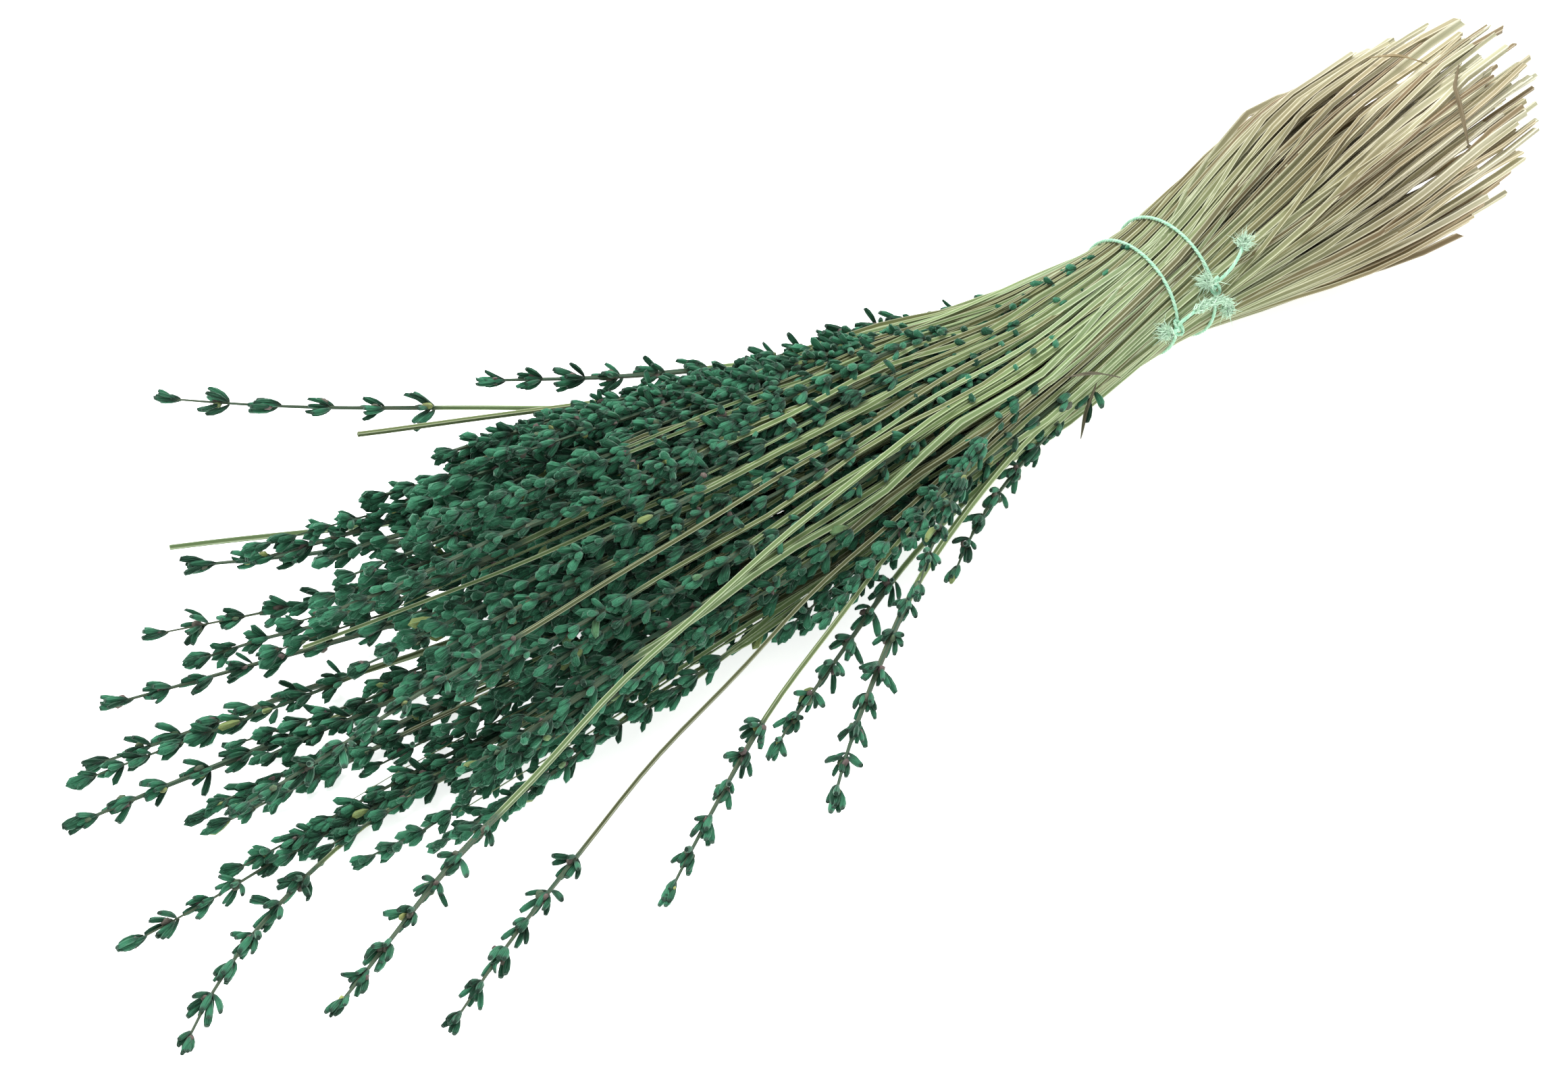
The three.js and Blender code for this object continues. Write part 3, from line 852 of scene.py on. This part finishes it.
def bodies(nodes, rng, kind):
    """Calyces or bracts round the stem: `kind` says how many, how long, wide, flat and tilted.

    nodes holds the whorls' centre, along, side, up and stem radius. A body's axis leans from the
    stem's direction outwards by its tilt, and its middle line bends outwards with t squared."""
    count = rng.integers(kind["count"][0], kind["count"][1] + 1, len(nodes["centre"]))
    index = np.repeat(np.arange(len(count)), count)
    number = np.arange(len(index)) - np.repeat(np.cumsum(count) - count, count)
    turn = rng.uniform(0, 2 * np.pi, len(count))[index] + 2 * np.pi * number / count[index]
    turn = turn + rng.normal(0, TURN_SCATTER, len(index))
    radial = (np.cos(turn)[:, None] * nodes["side"][index]
              + np.sin(turn)[:, None] * nodes["up"][index])
    along = nodes["along"][index]
    tilt = np.radians(rng.normal(kind["tilt"], kind["tilt_scatter"], len(index)))
    tilt = np.clip(tilt * nodes["open"][index], 0.05, 1.5)[:, None]
    axis = np.cos(tilt) * along + np.sin(tilt) * radial
    outward = np.cos(tilt) * radial - np.sin(tilt) * along
    across = np.cross(axis, outward)
    size = nodes["size"][index] * rng.uniform(*SIZE_RANGE, len(index))
    length = (kind["length"] * size)[:, None, None, None]
    width = (kind["radius"] * size * rng.uniform(*WIDTH_RANGE, len(index)))[:, None, None, None]
    bend = rng.normal(kind["bend"], BEND_SCATTER, len(index))[:, None, None, None]
    foot = nodes["centre"][index] + radial * (FOOT_DEPTH * nodes["radius"][index])[:, None]
    foot = foot - along * rng.uniform(0, kind["step_back"], len(index))[:, None]
    t = kind["stations"]
    profile = club(t, kind["belly"], kind["blunt"])[None, :, None, None]
    angle = angles_of(kind["sides"])[None, None, :, None]
    line = t[None, :, None, None]

    def at(line, profile, angle):
        """Points of the bodies for shares of the length, widths and angles."""
        return (foot[:, None, None]
                + axis[:, None, None] * (length * line)
                + outward[:, None, None] * (length * bend * line ** 2 + np.cos(angle) * profile * width)
                + across[:, None, None] * (np.sin(angle) * profile * width * kind["flat"]))

    rings = at(line, profile, angle)
    start = at(np.zeros((1, 1, 1, 1)), 0.0, 0.0)[:, 0, 0]
    end = at(np.full((1, 1, 1, 1), kind["mouth"]), 0.0, 0.0)[:, 0, 0]
    height = np.broadcast_to(t, (len(index), len(t)))
    tint = rng.uniform(0, 1, len(index))
    return over_floor(batch(rings, start, end, height, tint, kind["paint"], BODY_GRAIN))


# %% A group of stalks as batches
STEM_TOP = TIP_LENGTH + 2.0  # a stem ends this far below the tip, inside the highest whorl


def grow(group, whorls, stations, kinds, rng):
    """Stems, then each kind of body on them; where all are bare, stems cut straight at the tip."""
    if group["bare"].all():
        return [stems(group, group["reach"], group["reach"], stations)]
    heights, exists = whorl_heights(group, *whorls)
    lowest = np.where(exists, heights, np.inf).min(1)
    nodes = whorl_nodes(group, heights, exists, lowest, rng)
    stem = stems(group, group["reach"] - STEM_TOP, lowest, stations)
    return [stem, *(bodies(nodes, rng, kind) for kind in kinds)]


# %% [markdown]
# ### Outer stalks
# Spikes that stand clear of the bunch are loose: slender calyces arch outwards from the stem and
# turn back along it like claws, with gaps of bare stem between the whorls. They are also the ones
# seen closest, so they get the most faces.

# %% Kinds of calyx and bract
OPEN_CALYX = {
    "count": (7, 10), "length": 7.7, "radius": 1.04, "flat": 0.9, "tilt": 36, "tilt_scatter": 13,
    "bend": -0.2, "step_back": 3.4, "belly": 0.5, "blunt": 0.55, "mouth": 0.98, "sides": 7,
    "stations": np.array([0.05, 0.22, 0.5, 0.8, 1.0]), "paint": CALYX,
}
OPEN_BRACT = {
    "count": (2, 3), "length": 3.2, "radius": 1.25, "flat": 0.7, "tilt": 36, "tilt_scatter": 10,
    "bend": -0.2, "step_back": 1.0, "belly": 0.5, "blunt": 0.9, "mouth": 1.02, "sides": 6,
    "stations": np.array([0.05, 0.4, 0.8, 0.97]), "paint": BRACT,
}

# %% Grow the ring
THICK_RANGE = (0.75, 1.2)
OPEN_WHORLS = (6, 3, 10.5, 0.5, 3)  # fewest, extra, first step, its growth and its scatter
RING_SWAY, RING_HELD = 0.45, 0.5


def grow_stalk(name, group, rng):
    """One stalk of the ring as a piece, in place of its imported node."""
    bare = bool(group["bare"][0])
    batches = grow(group, OPEN_WHORLS, RING_STATIONS, (OPEN_CALYX, OPEN_BRACT), rng)
    piece = build(name + "_grown", batches, STALK_PAINTS)
    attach(piece, "root")
    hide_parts(name)
    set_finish(piece, "bare_stem" if bare else "dyed_stalk")
    return piece


names = iter(stalk_names)
bare_left = iter(bare_names)
ring_pieces = []
for n in slots:
    rng = np.random.default_rng(1000 + n)
    one = stalk_group(
        [n], around=ring_around[n], reach=ring_reach[n], tail=ring_tail[n], spread=ring_spread[n],
        start=ring_start[n], sway=RING_SWAY, tight=RING_HELD, thick=rng.uniform(*THICK_RANGE),
        bare=ring_bare[n])
    ring_pieces.append(grow_stalk(next(bare_left if ring_bare[n] else names), one, rng))
print(len(ring_pieces), "outer stalks,", sum(map(triangles, ring_pieces)), "triangles")

# %% [markdown]
# ### Packed stalks
# Inside the ring lie some two hundred and seventy more. Crowded spikes stay closed, so their
# calyces stand nearer the stem. The random share of the bunch's size is drawn with a square root,
# which spreads stalks evenly over the round section. A quarter of them are pushed out to the
# surface and slip sideways between the others, and a few are fine bare straws.

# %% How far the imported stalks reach
ROUND = [0, 30, 60, 90, 120, 150, 180, 210, 240, 270, 300, 330, 360]  # degrees, from the near side
SHORT_REACH = [265, 270, 215, 190, 180, 180, 190, 210, 220, 230, 215, 230, 265]
LONG_REACH = [395, 405, 345, 300, 285, 285, 325, 360, 410, 430, 400, 365, 395]
OUTERMOST = [1, 1, 1, 0.92, 0.84, 0.84, 0.9, 1, 1, 1, 1, 1, 1]  # share of the size, for spikes
INNER_REACH = (130, 370)
PACKED_STALKS = 244
SURFACE_SHARE = 0.26
STRAW_SHARE = 0.08
TAIL_LONGEST = TAIL_LENGTH + TAIL_SWING + TAIL_SCATTER + 6
TAIL_CHANGE = (-14, 13)  # mean and scatter of what a packed stalk's tail is longer by
ROUND_FILL = 0.97  # share of the size that packed stalks fill evenly
SURFACE = (0.94, 1.0)
DRIFT = 0.12  # scatter of the share of the size, towards either end
INNERMOST = 0.03
SURFACE_LIFT = {"fan": 0.04, "most": 0.03, "tail": 0.05}  # a surface stalk stands out by this
TAIL_OUTERMOST = 1.03
SLIPS = (0.18, 0.3)  # radians that stalks slip sideways in the fan and in the tail
SWELL = 1.5  # mm that surface stalks bulge between the strings, at most
PACKED_SWAY = (0.4, 1.5)
STRAW_THICK = (0.25, 0.5)
PACKED_THICK = (0.62, 1.25)


def packed_reach(around, share, rng):
    """A random reach between two limits: each a blend of the middle's and the side's own."""
    degrees = np.degrees(around) % 360
    out = np.clip(share, 0, 1) ** 2
    low, high = (middle + out * (np.interp(degrees, ROUND, side) - middle)
                 for middle, side in zip(INNER_REACH, (SHORT_REACH, LONG_REACH)))
    return low + (high - low) * rng.uniform(0, 1, len(around))


def packed_group(count, rng):
    """Random stalks inside the ring, some at its surface and some of them fine and bare."""
    seeds = 200 + np.arange(count)
    around = rng.uniform(0, 2 * np.pi, count)
    surface = rng.uniform(0, 1, count) < SURFACE_SHARE
    straw = rng.uniform(0, 1, count) < STRAW_SHARE
    share = ROUND_FILL * np.sqrt(rng.uniform(0.01, 1, count))
    share = np.where(surface | straw, rng.uniform(*SURFACE, count), share)
    drift = rng.normal(0, DRIFT, (2, count))
    lift = {end: amount * surface for end, amount in SURFACE_LIFT.items()}
    most = np.where(straw, 1.0, np.interp(np.degrees(around), ROUND, OUTERMOST)) + lift["most"]
    share_fan = np.clip(share + drift[0] + lift["fan"], INNERMOST, most)
    tail = np.minimum(cut_length(around, seeds) + rng.normal(*TAIL_CHANGE, count), TAIL_LONGEST)
    return stalk_group(
        seeds, around=around, reach=packed_reach(around, share_fan, rng), tail=tail,
        share=share, share_fan=share_fan,
        share_tail=np.clip(share + drift[1] + lift["tail"], INNERMOST, TAIL_OUTERMOST),
        slip=rng.normal(0, SLIPS[0], count), slip_tail=rng.normal(0, SLIPS[1], count),
        swell=np.where(surface, rng.uniform(0, SWELL, count), 0),
        sway=rng.uniform(*PACKED_SWAY, count),
        thick=np.where(straw, rng.uniform(*STRAW_THICK, count), rng.uniform(*PACKED_THICK, count)),
        bare=straw)


rng = np.random.default_rng(77)
packed = packed_group(PACKED_STALKS, rng)
print(PACKED_STALKS, "packed stalks,", int(packed["bare"].sum()), "of them bare straws")

# %% [markdown]
# Some break the even fan: short spikes hang out of its lower edge close to the neck, long ones run
# out along the surface, and a few bloom between the stems on top of the neck.

# %% Stalks out of line
STRAYS = [  # how many, then from and to: degrees round, sideways spread, reach, share of the size
    (8, (272, 345), (1.2, 2.8), (185, 240), (0.93, 1.0)),
    (6, (250, 290), (1.0, 1.4), (395, 440), (0.8, 1.0)),
    (8, (0, 55), (1.0, 1.0), (125, 185), (0.82, 0.93)),
]
STRAY_SWAY = (0.4, 1.2)
STRAY_THICK = (0.6, 1.1)
STRAY_SEEDS = (600, 20)  # the first row's first seed, and the step from row to row


def stray_group(first_seed, count, degrees, spread, reach, share, rng):
    """Random stalks near the surface of the bunch, within one row of the table."""
    seeds = first_seed + np.arange(count)
    around = np.radians(rng.permutation(np.linspace(*degrees, count)))
    return stalk_group(
        seeds, around=around, reach=rng.permutation(np.linspace(*reach, count)),
        tail=cut_length(around, seeds), spread=rng.uniform(*spread, count),
        share=rng.uniform(*share, count),
        sway=rng.uniform(*STRAY_SWAY, count), thick=rng.uniform(*STRAY_THICK, count))


strays = [stray_group(STRAY_SEEDS[0] + STRAY_SEEDS[1] * row, *kind, rng)
          for row, kind in enumerate(STRAYS)]
packed = {key: np.concatenate([group[key] for group in [packed, *strays]]) for key in packed}
print(len(packed["seed"]), "packed stalks with the", sum(kind[0] for kind in STRAYS), "strays")

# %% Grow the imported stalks
PACKED_PIECES = 5
PACKED_CALYX = {
    "count": (5, 9), "length": 7.8, "radius": 1.24, "flat": 0.92, "tilt": 25, "tilt_scatter": 9,
    "bend": -0.1, "step_back": 3.8, "belly": 0.55, "blunt": 0.6, "mouth": 1.0, "sides": 6,
    "stations": np.array([0.1, 0.42, 0.8]), "paint": CALYX,
}
HIDDEN_CALYX = {**PACKED_CALYX, "count": (4, 5), "radius": 1.7, "sides": 5}  # fewer but wider
HIDDEN_PIECES = 2  # the first pieces lie deep inside
PACKED_WHORLS = (7, 3, 8.8, 0.3, 2.2)
PACKED_BRACT = {
    "count": (1, 2), "length": 3.0, "radius": 1.0, "flat": 0.8, "tilt": 30, "tilt_scatter": 12,
    "bend": -0.15, "step_back": 0.8, "belly": 0.5, "blunt": 0.97, "mouth": 1.05, "sides": 4,
    "stations": np.array([0.1, 0.5, 0.9]), "paint": BRACT,
}
PACKED_STATIONS = 24

order = np.argsort(packed["share_fan"])
for part, chosen in enumerate(np.array_split(order, PACKED_PIECES), start=1):
    group = {key: value[chosen] for key, value in packed.items()}
    kinds = (HIDDEN_CALYX if part <= HIDDEN_PIECES else PACKED_CALYX, PACKED_BRACT)
    batches = grow(group, PACKED_WHORLS, PACKED_STATIONS, kinds, rng)
    piece = build(f"packed_stalks_{part}", batches, STALK_PAINTS)
    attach(piece, "root")
    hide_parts("inner_stalks")
    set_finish(piece, "inner_stalks")
    print(piece.name, len(chosen), "stalks,", triangles(piece), "triangles")

# %% [markdown]
# ## The strings
# Each tie is one turn of cotton string with a knot and frayed ends. The string is three strands
# wound round each other, made as helices round its middle line, because a bump on a smooth tube
# would not break up its outline. A frayed end is a burst of thin bent fibres.


# %% Lines over the neck
def over_neck(s, angle, height):
    """A point over the neck's stems: the ring's place at that angle, moved outwards by height."""
    centre = place(s, 1.0, angle - angle_at(s, 0.0))
    outward = np.stack([np.zeros_like(angle), -np.cos(angle), np.sin(angle)], -1)
    return centre + outward * np.asarray(height)[..., None]


def tube_along(line, radius, sides, reference):
    """Rings round lines of (items, stations, 3), with a radius for each station."""
    side, up = crosswise(unit(np.gradient(line, axis=1)), reference)
    angle = angles_of(sides)
    reach = np.broadcast_to(radius, line.shape[:2])[..., None]
    return section(line, side, up, reach * np.cos(angle), reach * np.sin(angle))


# %% Twisted string
STRING_RADIUS = 0.66
STRANDS = 3
STRAND_PITCH = 4.4
LEAN_SIDE = -0.52  # the angle at which either string comes farthest towards the flowers
STRAND_SHARE = 0.56  # a strand's radius, as a share of the string's
STRAND_SIDES = 6
COTTON_GRAIN = 0.5
ROUND_THE_NECK = 20  # mm for each radian, roughly


def string_along(line, reference):
    """Strands wound round a line of (stations, 3): each a helix at the rest of the radius."""
    travelled = np.concatenate([[0], np.cumsum(np.linalg.norm(np.diff(line, axis=0), axis=1))])
    side, up = crosswise(unit(np.gradient(line, axis=0)), reference)
    phase = 2 * np.pi * (travelled[None] / STRAND_PITCH + np.arange(STRANDS)[:, None] / STRANDS)
    off = STRING_RADIUS * (1 - STRAND_SHARE)
    strands = line + off * (np.cos(phase)[..., None] * side + np.sin(phase)[..., None] * up)
    rings = tube_along(strands, STRING_RADIUS * STRAND_SHARE, STRAND_SIDES, reference)
    height = np.broadcast_to(travelled, phase.shape)
    tint = np.linspace(0.1, 0.5, STRANDS)
    return batch(rings, strands[:, 0], strands[:, -1], height, tint, 0, COTTON_GRAIN, long=True)


def through(points, stations):
    """A smooth line through a few points: the polynomial that passes through all of them."""
    points = np.asarray(points, float)
    steps = np.linalg.norm(np.diff(points * [1, ROUND_THE_NECK, 1], axis=0), axis=1)
    t = np.concatenate([[0], np.cumsum(steps)]) / steps.sum()
    factors = np.polyfit(t, points, len(points) - 1)
    fine = np.linspace(0, 1, stations)[:, None]
    return sum(f * fine ** p for p, f in zip(range(len(points) - 1, -1, -1), factors))


# %% Frayed ends and knots
FIBRE_RADIUS = 0.22
FIBRE_STATIONS = 6
FIBRE_LENGTHS = (0.3, 0.85)  # shares of the tuft's length
FIBRE_DRIFT = 1.1  # times how loose the tuft is
FIBRE_WAVE = 0.2
WAVE_TURN = 8  # radians of the wave over a fibre's length
ROOT_SCATTER = 0.5  # mm


def fray(point, direction, length, count, rng, loose=0.4):
    """A matted brush of fibres from a point: each leaves close to the string's own direction,
    then drifts off with t squared and waves with a sine, all by its own random vectors."""
    lead = unit(direction + rng.normal(0, loose, (count, 3)))
    drift = rng.normal(0, FIBRE_DRIFT * loose, (count, 3))
    wave = rng.normal(0, FIBRE_WAVE, (count, 3))
    t = np.linspace(0, 1, FIBRE_STATIONS)[None, :, None]
    reach = (length * rng.uniform(*FIBRE_LENGTHS, count))[:, None, None]
    start = point + rng.normal(0, ROOT_SCATTER, (count, 3))
    curve = lead[:, None] * t + drift[:, None] * t ** 2 + wave[:, None] * np.sin(WAVE_TURN * t)
    line = start[:, None] + reach * curve
    radius = FIBRE_RADIUS * (1.15 - t[..., 0] ** 2)
    rings = tube_along(line, radius, 3, [0.36, 0.48, 0.8])
    height = np.broadcast_to(reach[..., 0] * t[..., 0], line.shape[:2])
    tint = rng.uniform(0.6, 1, count)
    return batch(rings, line[:, 0], line[:, -1], height, tint, 0, COTTON_GRAIN)


KNOT_STATIONS = 73
KNOT_ROUND, KNOT_HIGH = 1.5, 1.3  # how far the knot is drawn out round the neck and outwards


def knot(centre, size, turn):
    """An overhand knot: the trefoil curve (sin t + 2 sin 2t, cos t - 2 cos 2t, -sin 3t),
    drawn out round the neck and away from it."""
    t = np.linspace(0, 2 * np.pi, KNOT_STATIONS)
    across = np.cos(t) - 2 * np.cos(2 * t)
    curve = np.stack([np.sin(t) + 2 * np.sin(2 * t), KNOT_ROUND * across,
                      -KNOT_HIGH * np.sin(3 * t)], -1) * size / 3
    outward = np.array([0.0, -math.cos(turn), math.sin(turn)])
    upward = np.array([0.0, math.sin(turn), math.cos(turn)])
    line = centre + curve @ np.stack([[1.0, 0.0, 0.0], upward, outward])
    return string_along(line, [0.31, 0.42, 0.85])


# %% [markdown]
# The two ties differ only in where they sit and how their loose ends run, so a tie is a function of
# its place, the angle of its knot from the near side, and the points of its ends. A string pulled
# tight by hand crosses the stems a little aslant.

# %% Make the ties
STRING_SEAT = NECK_RADIUS + 0.4
KNOT_SIZE = 2.3
KNOT_LIFT = 0.9  # over the string's own seat
LOOP_STATIONS = 300
END_STATIONS = 40
OPENED_LOOSE = 0.18  # how loose the fibres are along an end that has come open


def string_place(s, lean, angle):
    """Where a slanting string runs at an angle: its middle place plus a lean times a cosine."""
    return s + lean * np.cos(angle - LEAN_SIDE)


def tie(name, node, s, lean, knot_degrees, ends, rng):
    """A turn of string, a knot and frayed ends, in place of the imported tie.

    An end is its points, the length and number of its fibres, and the stations where it has
    already come open."""
    turn = math.radians(knot_degrees)
    knot_place = string_place(s, lean, turn)
    angles = np.linspace(turn, turn + 2 * np.pi, LOOP_STATIONS)
    parts = [string_along(over_neck(string_place(s, lean, angles), angles, STRING_SEAT), [1, 0, 0])]
    middle = over_neck(np.array([knot_place]), np.array([turn]), STRING_SEAT + KNOT_LIFT)[0]
    parts.append(knot(middle, KNOT_SIZE, turn))
    for points, tuft, fibres, opened in ends:
        steps = np.array([[knot_place, knot_degrees, STRING_SEAT]] + points, float)
        way = through(steps * [1, math.pi / 180, 1], END_STATIONS)
        line = over_neck(way[:, 0], way[:, 1], way[:, 2])
        parts.append(string_along(line, [0.2, 0.3, 0.93]))
        parts.append(fray(line[-1], unit(line[-1] - line[-4]), tuft, fibres, rng))
        for k in opened:
            back = unit(line[k] - line[k - 3])
            parts.append(fray(line[k], back, tuft, fibres // 2, rng, OPENED_LOOSE))
    piece = build(name, parts, [cotton_paint])
    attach(piece, "root")
    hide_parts(node)
    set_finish(piece, "cotton_string")
    print(name, triangles(piece), "triangles")
    return piece


tie("flower_side_string", "flower_side_tie", 14.5, 1, 2, [
    ([[18.7, 3, 4.2], [21.3, 5, 3.8]], 4.8, 260, []),
    ([[11, 12, 5.0], [5, 14.5, 6.0], [-1, 12, 6.4], [-3.8, 3, 6]], 4.4, 200, [14, 19, 24, 29, 34]),
], np.random.default_rng(5))
tie("cut_side_string", "cut_side_tie", -3.5, 1, 23, [
    ([[-1.5, 26, 4.6], [-0.3, 28, 4.4]], 4.8, 280, []),
    ([[-11.5, 32, 4.4], [-18, 41.5, 4.4]], 4.8, 260, []),
], np.random.default_rng(6))

# %% [markdown]
# ## Dry leaves
# Four leaves are caught between the stems. A leaf is the same closed tube pressed flat, with its
# width tapering to both ends, a curl across it and a bow along it.

# %% Make the leaves
LEAF_THICKNESS = 0.35
LEAF_END = 0.2  # the width's least share
LEAF_STATIONS = 26
LEAF_SIDES = 12
LEAF_GRAIN = 4.0
RIPPLE = 0.25  # mm
KINK_AT = 0.3  # share of the length


def leaf(name, node, start, end, width, bow, curl, tint, kink=0.0):
    """A flat tube from start to end: the width follows a cosine, the curl the square across.

    A ripple of sines runs along it. A kink moves it sideways, in two straight runs."""
    t = np.linspace(0.01, 0.99, LEAF_STATIONS)
    arch = np.cos(np.pi * (t - 0.5))
    side, up = crosswise(unit(end - start))
    angle = angles_of(LEAF_SIDES)
    half = (width / 2 * (LEAF_END + (1 - LEAF_END) * arch) * np.sqrt(np.clip(arch * 4, 0, 1)))[:, None]
    x = half * np.cos(angle)
    z = LEAF_THICKNESS / 2 * np.sin(angle) + curl * x ** 2 + bow * arch[:, None]
    z = z + RIPPLE * np.sin(9 * t[:, None] + 3 * np.cos(angle)) * arch[:, None]
    aside = kink * np.minimum(t / KINK_AT, (1 - t) / (1 - KINK_AT))
    middle = start + (end - start) * t[:, None] + aside[:, None] * side
    rings = section(middle, side, up, x, z)[None]
    blade = batch(rings, rings[:, 0].mean(1), rings[:, -1].mean(1), t[None], [tint], 0,
                  LEAF_GRAIN, long=True)
    piece = build(name, [blade], [leaf_paint])
    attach(piece, "root")
    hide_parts(node)
    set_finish(piece, "dry_leaf")
    return piece


def spot(s, degrees, height):
    """One point over the neck's stems."""
    return over_neck(np.array([float(s)]), np.radians([float(degrees)]), [height])[0]


LEAVES = [
    (spot(47.5, -6, 4.5), spot(75.5, 22.5, 4.5), 1.8, 1.5, 0.3, 0.2),
    (spot(62, 8, 6), spot(67, -37, 9), 2.2, 1, -0.15, 0.1),
    (spot(-147.5, 76, 5), spot(-122, 33, 6), 1.8, 2, 0.3, 0.75, 3.0),
    (spot(-126, 110, 4.5), spot(-136, 83, 6), 1.5, 2, 0.4, 0.95),
]
for n, shape in enumerate(LEAVES, start=1):
    made = leaf(f"dry_leaf_{n:02d}_curled", f"dry_leaf_{n:02d}", *shape)
    print(made.name, triangles(made), "triangles")

# %% [markdown]
# ## Floor, light and camera
# The bunch lies on a plain near-white floor that glows a little, as a light table does. The light is
# soft and comes from everywhere, with one large lamp overhead behind the bunch, so that the downy
# calyces are bright on top and the gaps between them go dark by themselves.

# %% Floor
FLOOR_HALF = 6.0  # metres
FLOOR_GLOW = 0.75  # of plain white, which keeps the shadows on it pale
FLOOR_SURFACE = {
    "Specular IOR Level": 0.1, "Roughness": 0.9,
    "Emission Color": colour("ffffff"), "Emission Strength": FLOOR_GLOW,
}


def floor_finish():
    """A near-white ground with the faintest mottle."""
    made, tree, shader = start_material("pale_floor", FLOOR_SURFACE)
    mottle = noise(tree, add(tree, "TexCoord", {}).outputs["Object"], 3.0)
    fill(shader, {"Base Color": mix(tree, mottle, colour("f6f6f6"), colour("fafafa"))})
    return made


corner = FLOOR_HALF * np.array([[-1, -1, 0], [1, -1, 0], [1, 1, 0], [-1, 1, 0]])
floor_mesh = bpy.data.meshes.new("floor")
floor_mesh.from_pydata(corner.tolist(), [], [(0, 1, 2, 3)])
floor_mesh.materials.append(floor_finish())
floor = link("floor", floor_mesh)
print("floor", 2 * FLOOR_HALF, "m square")

# %% Light
world = bpy.data.worlds.new("white_studio")
world.use_nodes = True
fill(world.node_tree.nodes["Background"], {"Color": (1, 1, 1, 1), "Strength": 0.9})
bpy.context.scene.world = world
lamp = bpy.data.lights.new("overhead", "AREA")
lamp.shape = "DISK"
lamp.size = 1.6
lamp.energy = 50
lamp_object = link("overhead", lamp)
lamp_object.location = (-0.1, 0.7, 1.9)
aim = -lamp_object.location
lamp_object.rotation_euler = aim.to_track_quat("-Z", "Y").to_euler()
bpy.context.scene.view_settings.view_transform = "Standard"
print("lamp", lamp.energy, "W,", lamp.size, "m across")

# %% Camera
CAMERA_AZIMUTH = math.radians(-41)
CAMERA_HEIGHT = math.radians(36)
CAMERA_DISTANCE = 1600  # mm
CAMERA_AIM = np.array([-175.4, 1.3, 0.0])  # on the surface, towards the flowers from the neck

back = np.array([
    math.sin(CAMERA_AZIMUTH) * math.cos(CAMERA_HEIGHT),
    -math.cos(CAMERA_AZIMUTH) * math.cos(CAMERA_HEIGHT),
    math.sin(CAMERA_HEIGHT),
])
camera = bpy.data.cameras.new("camera")
camera.lens = 108.5
camera.clip_end = 100
camera_object = link("camera", camera)
camera_object.location = ((CAMERA_AIM + SHIFT + CAMERA_DISTANCE * back) * MM).tolist()
camera_object.rotation_euler = (math.pi / 2 - CAMERA_HEIGHT, 0, CAMERA_AZIMUTH)
bpy.context.scene.camera = camera_object
print("camera", camera.lens, "mm lens at", [round(x, 3) for x in camera_object.location])
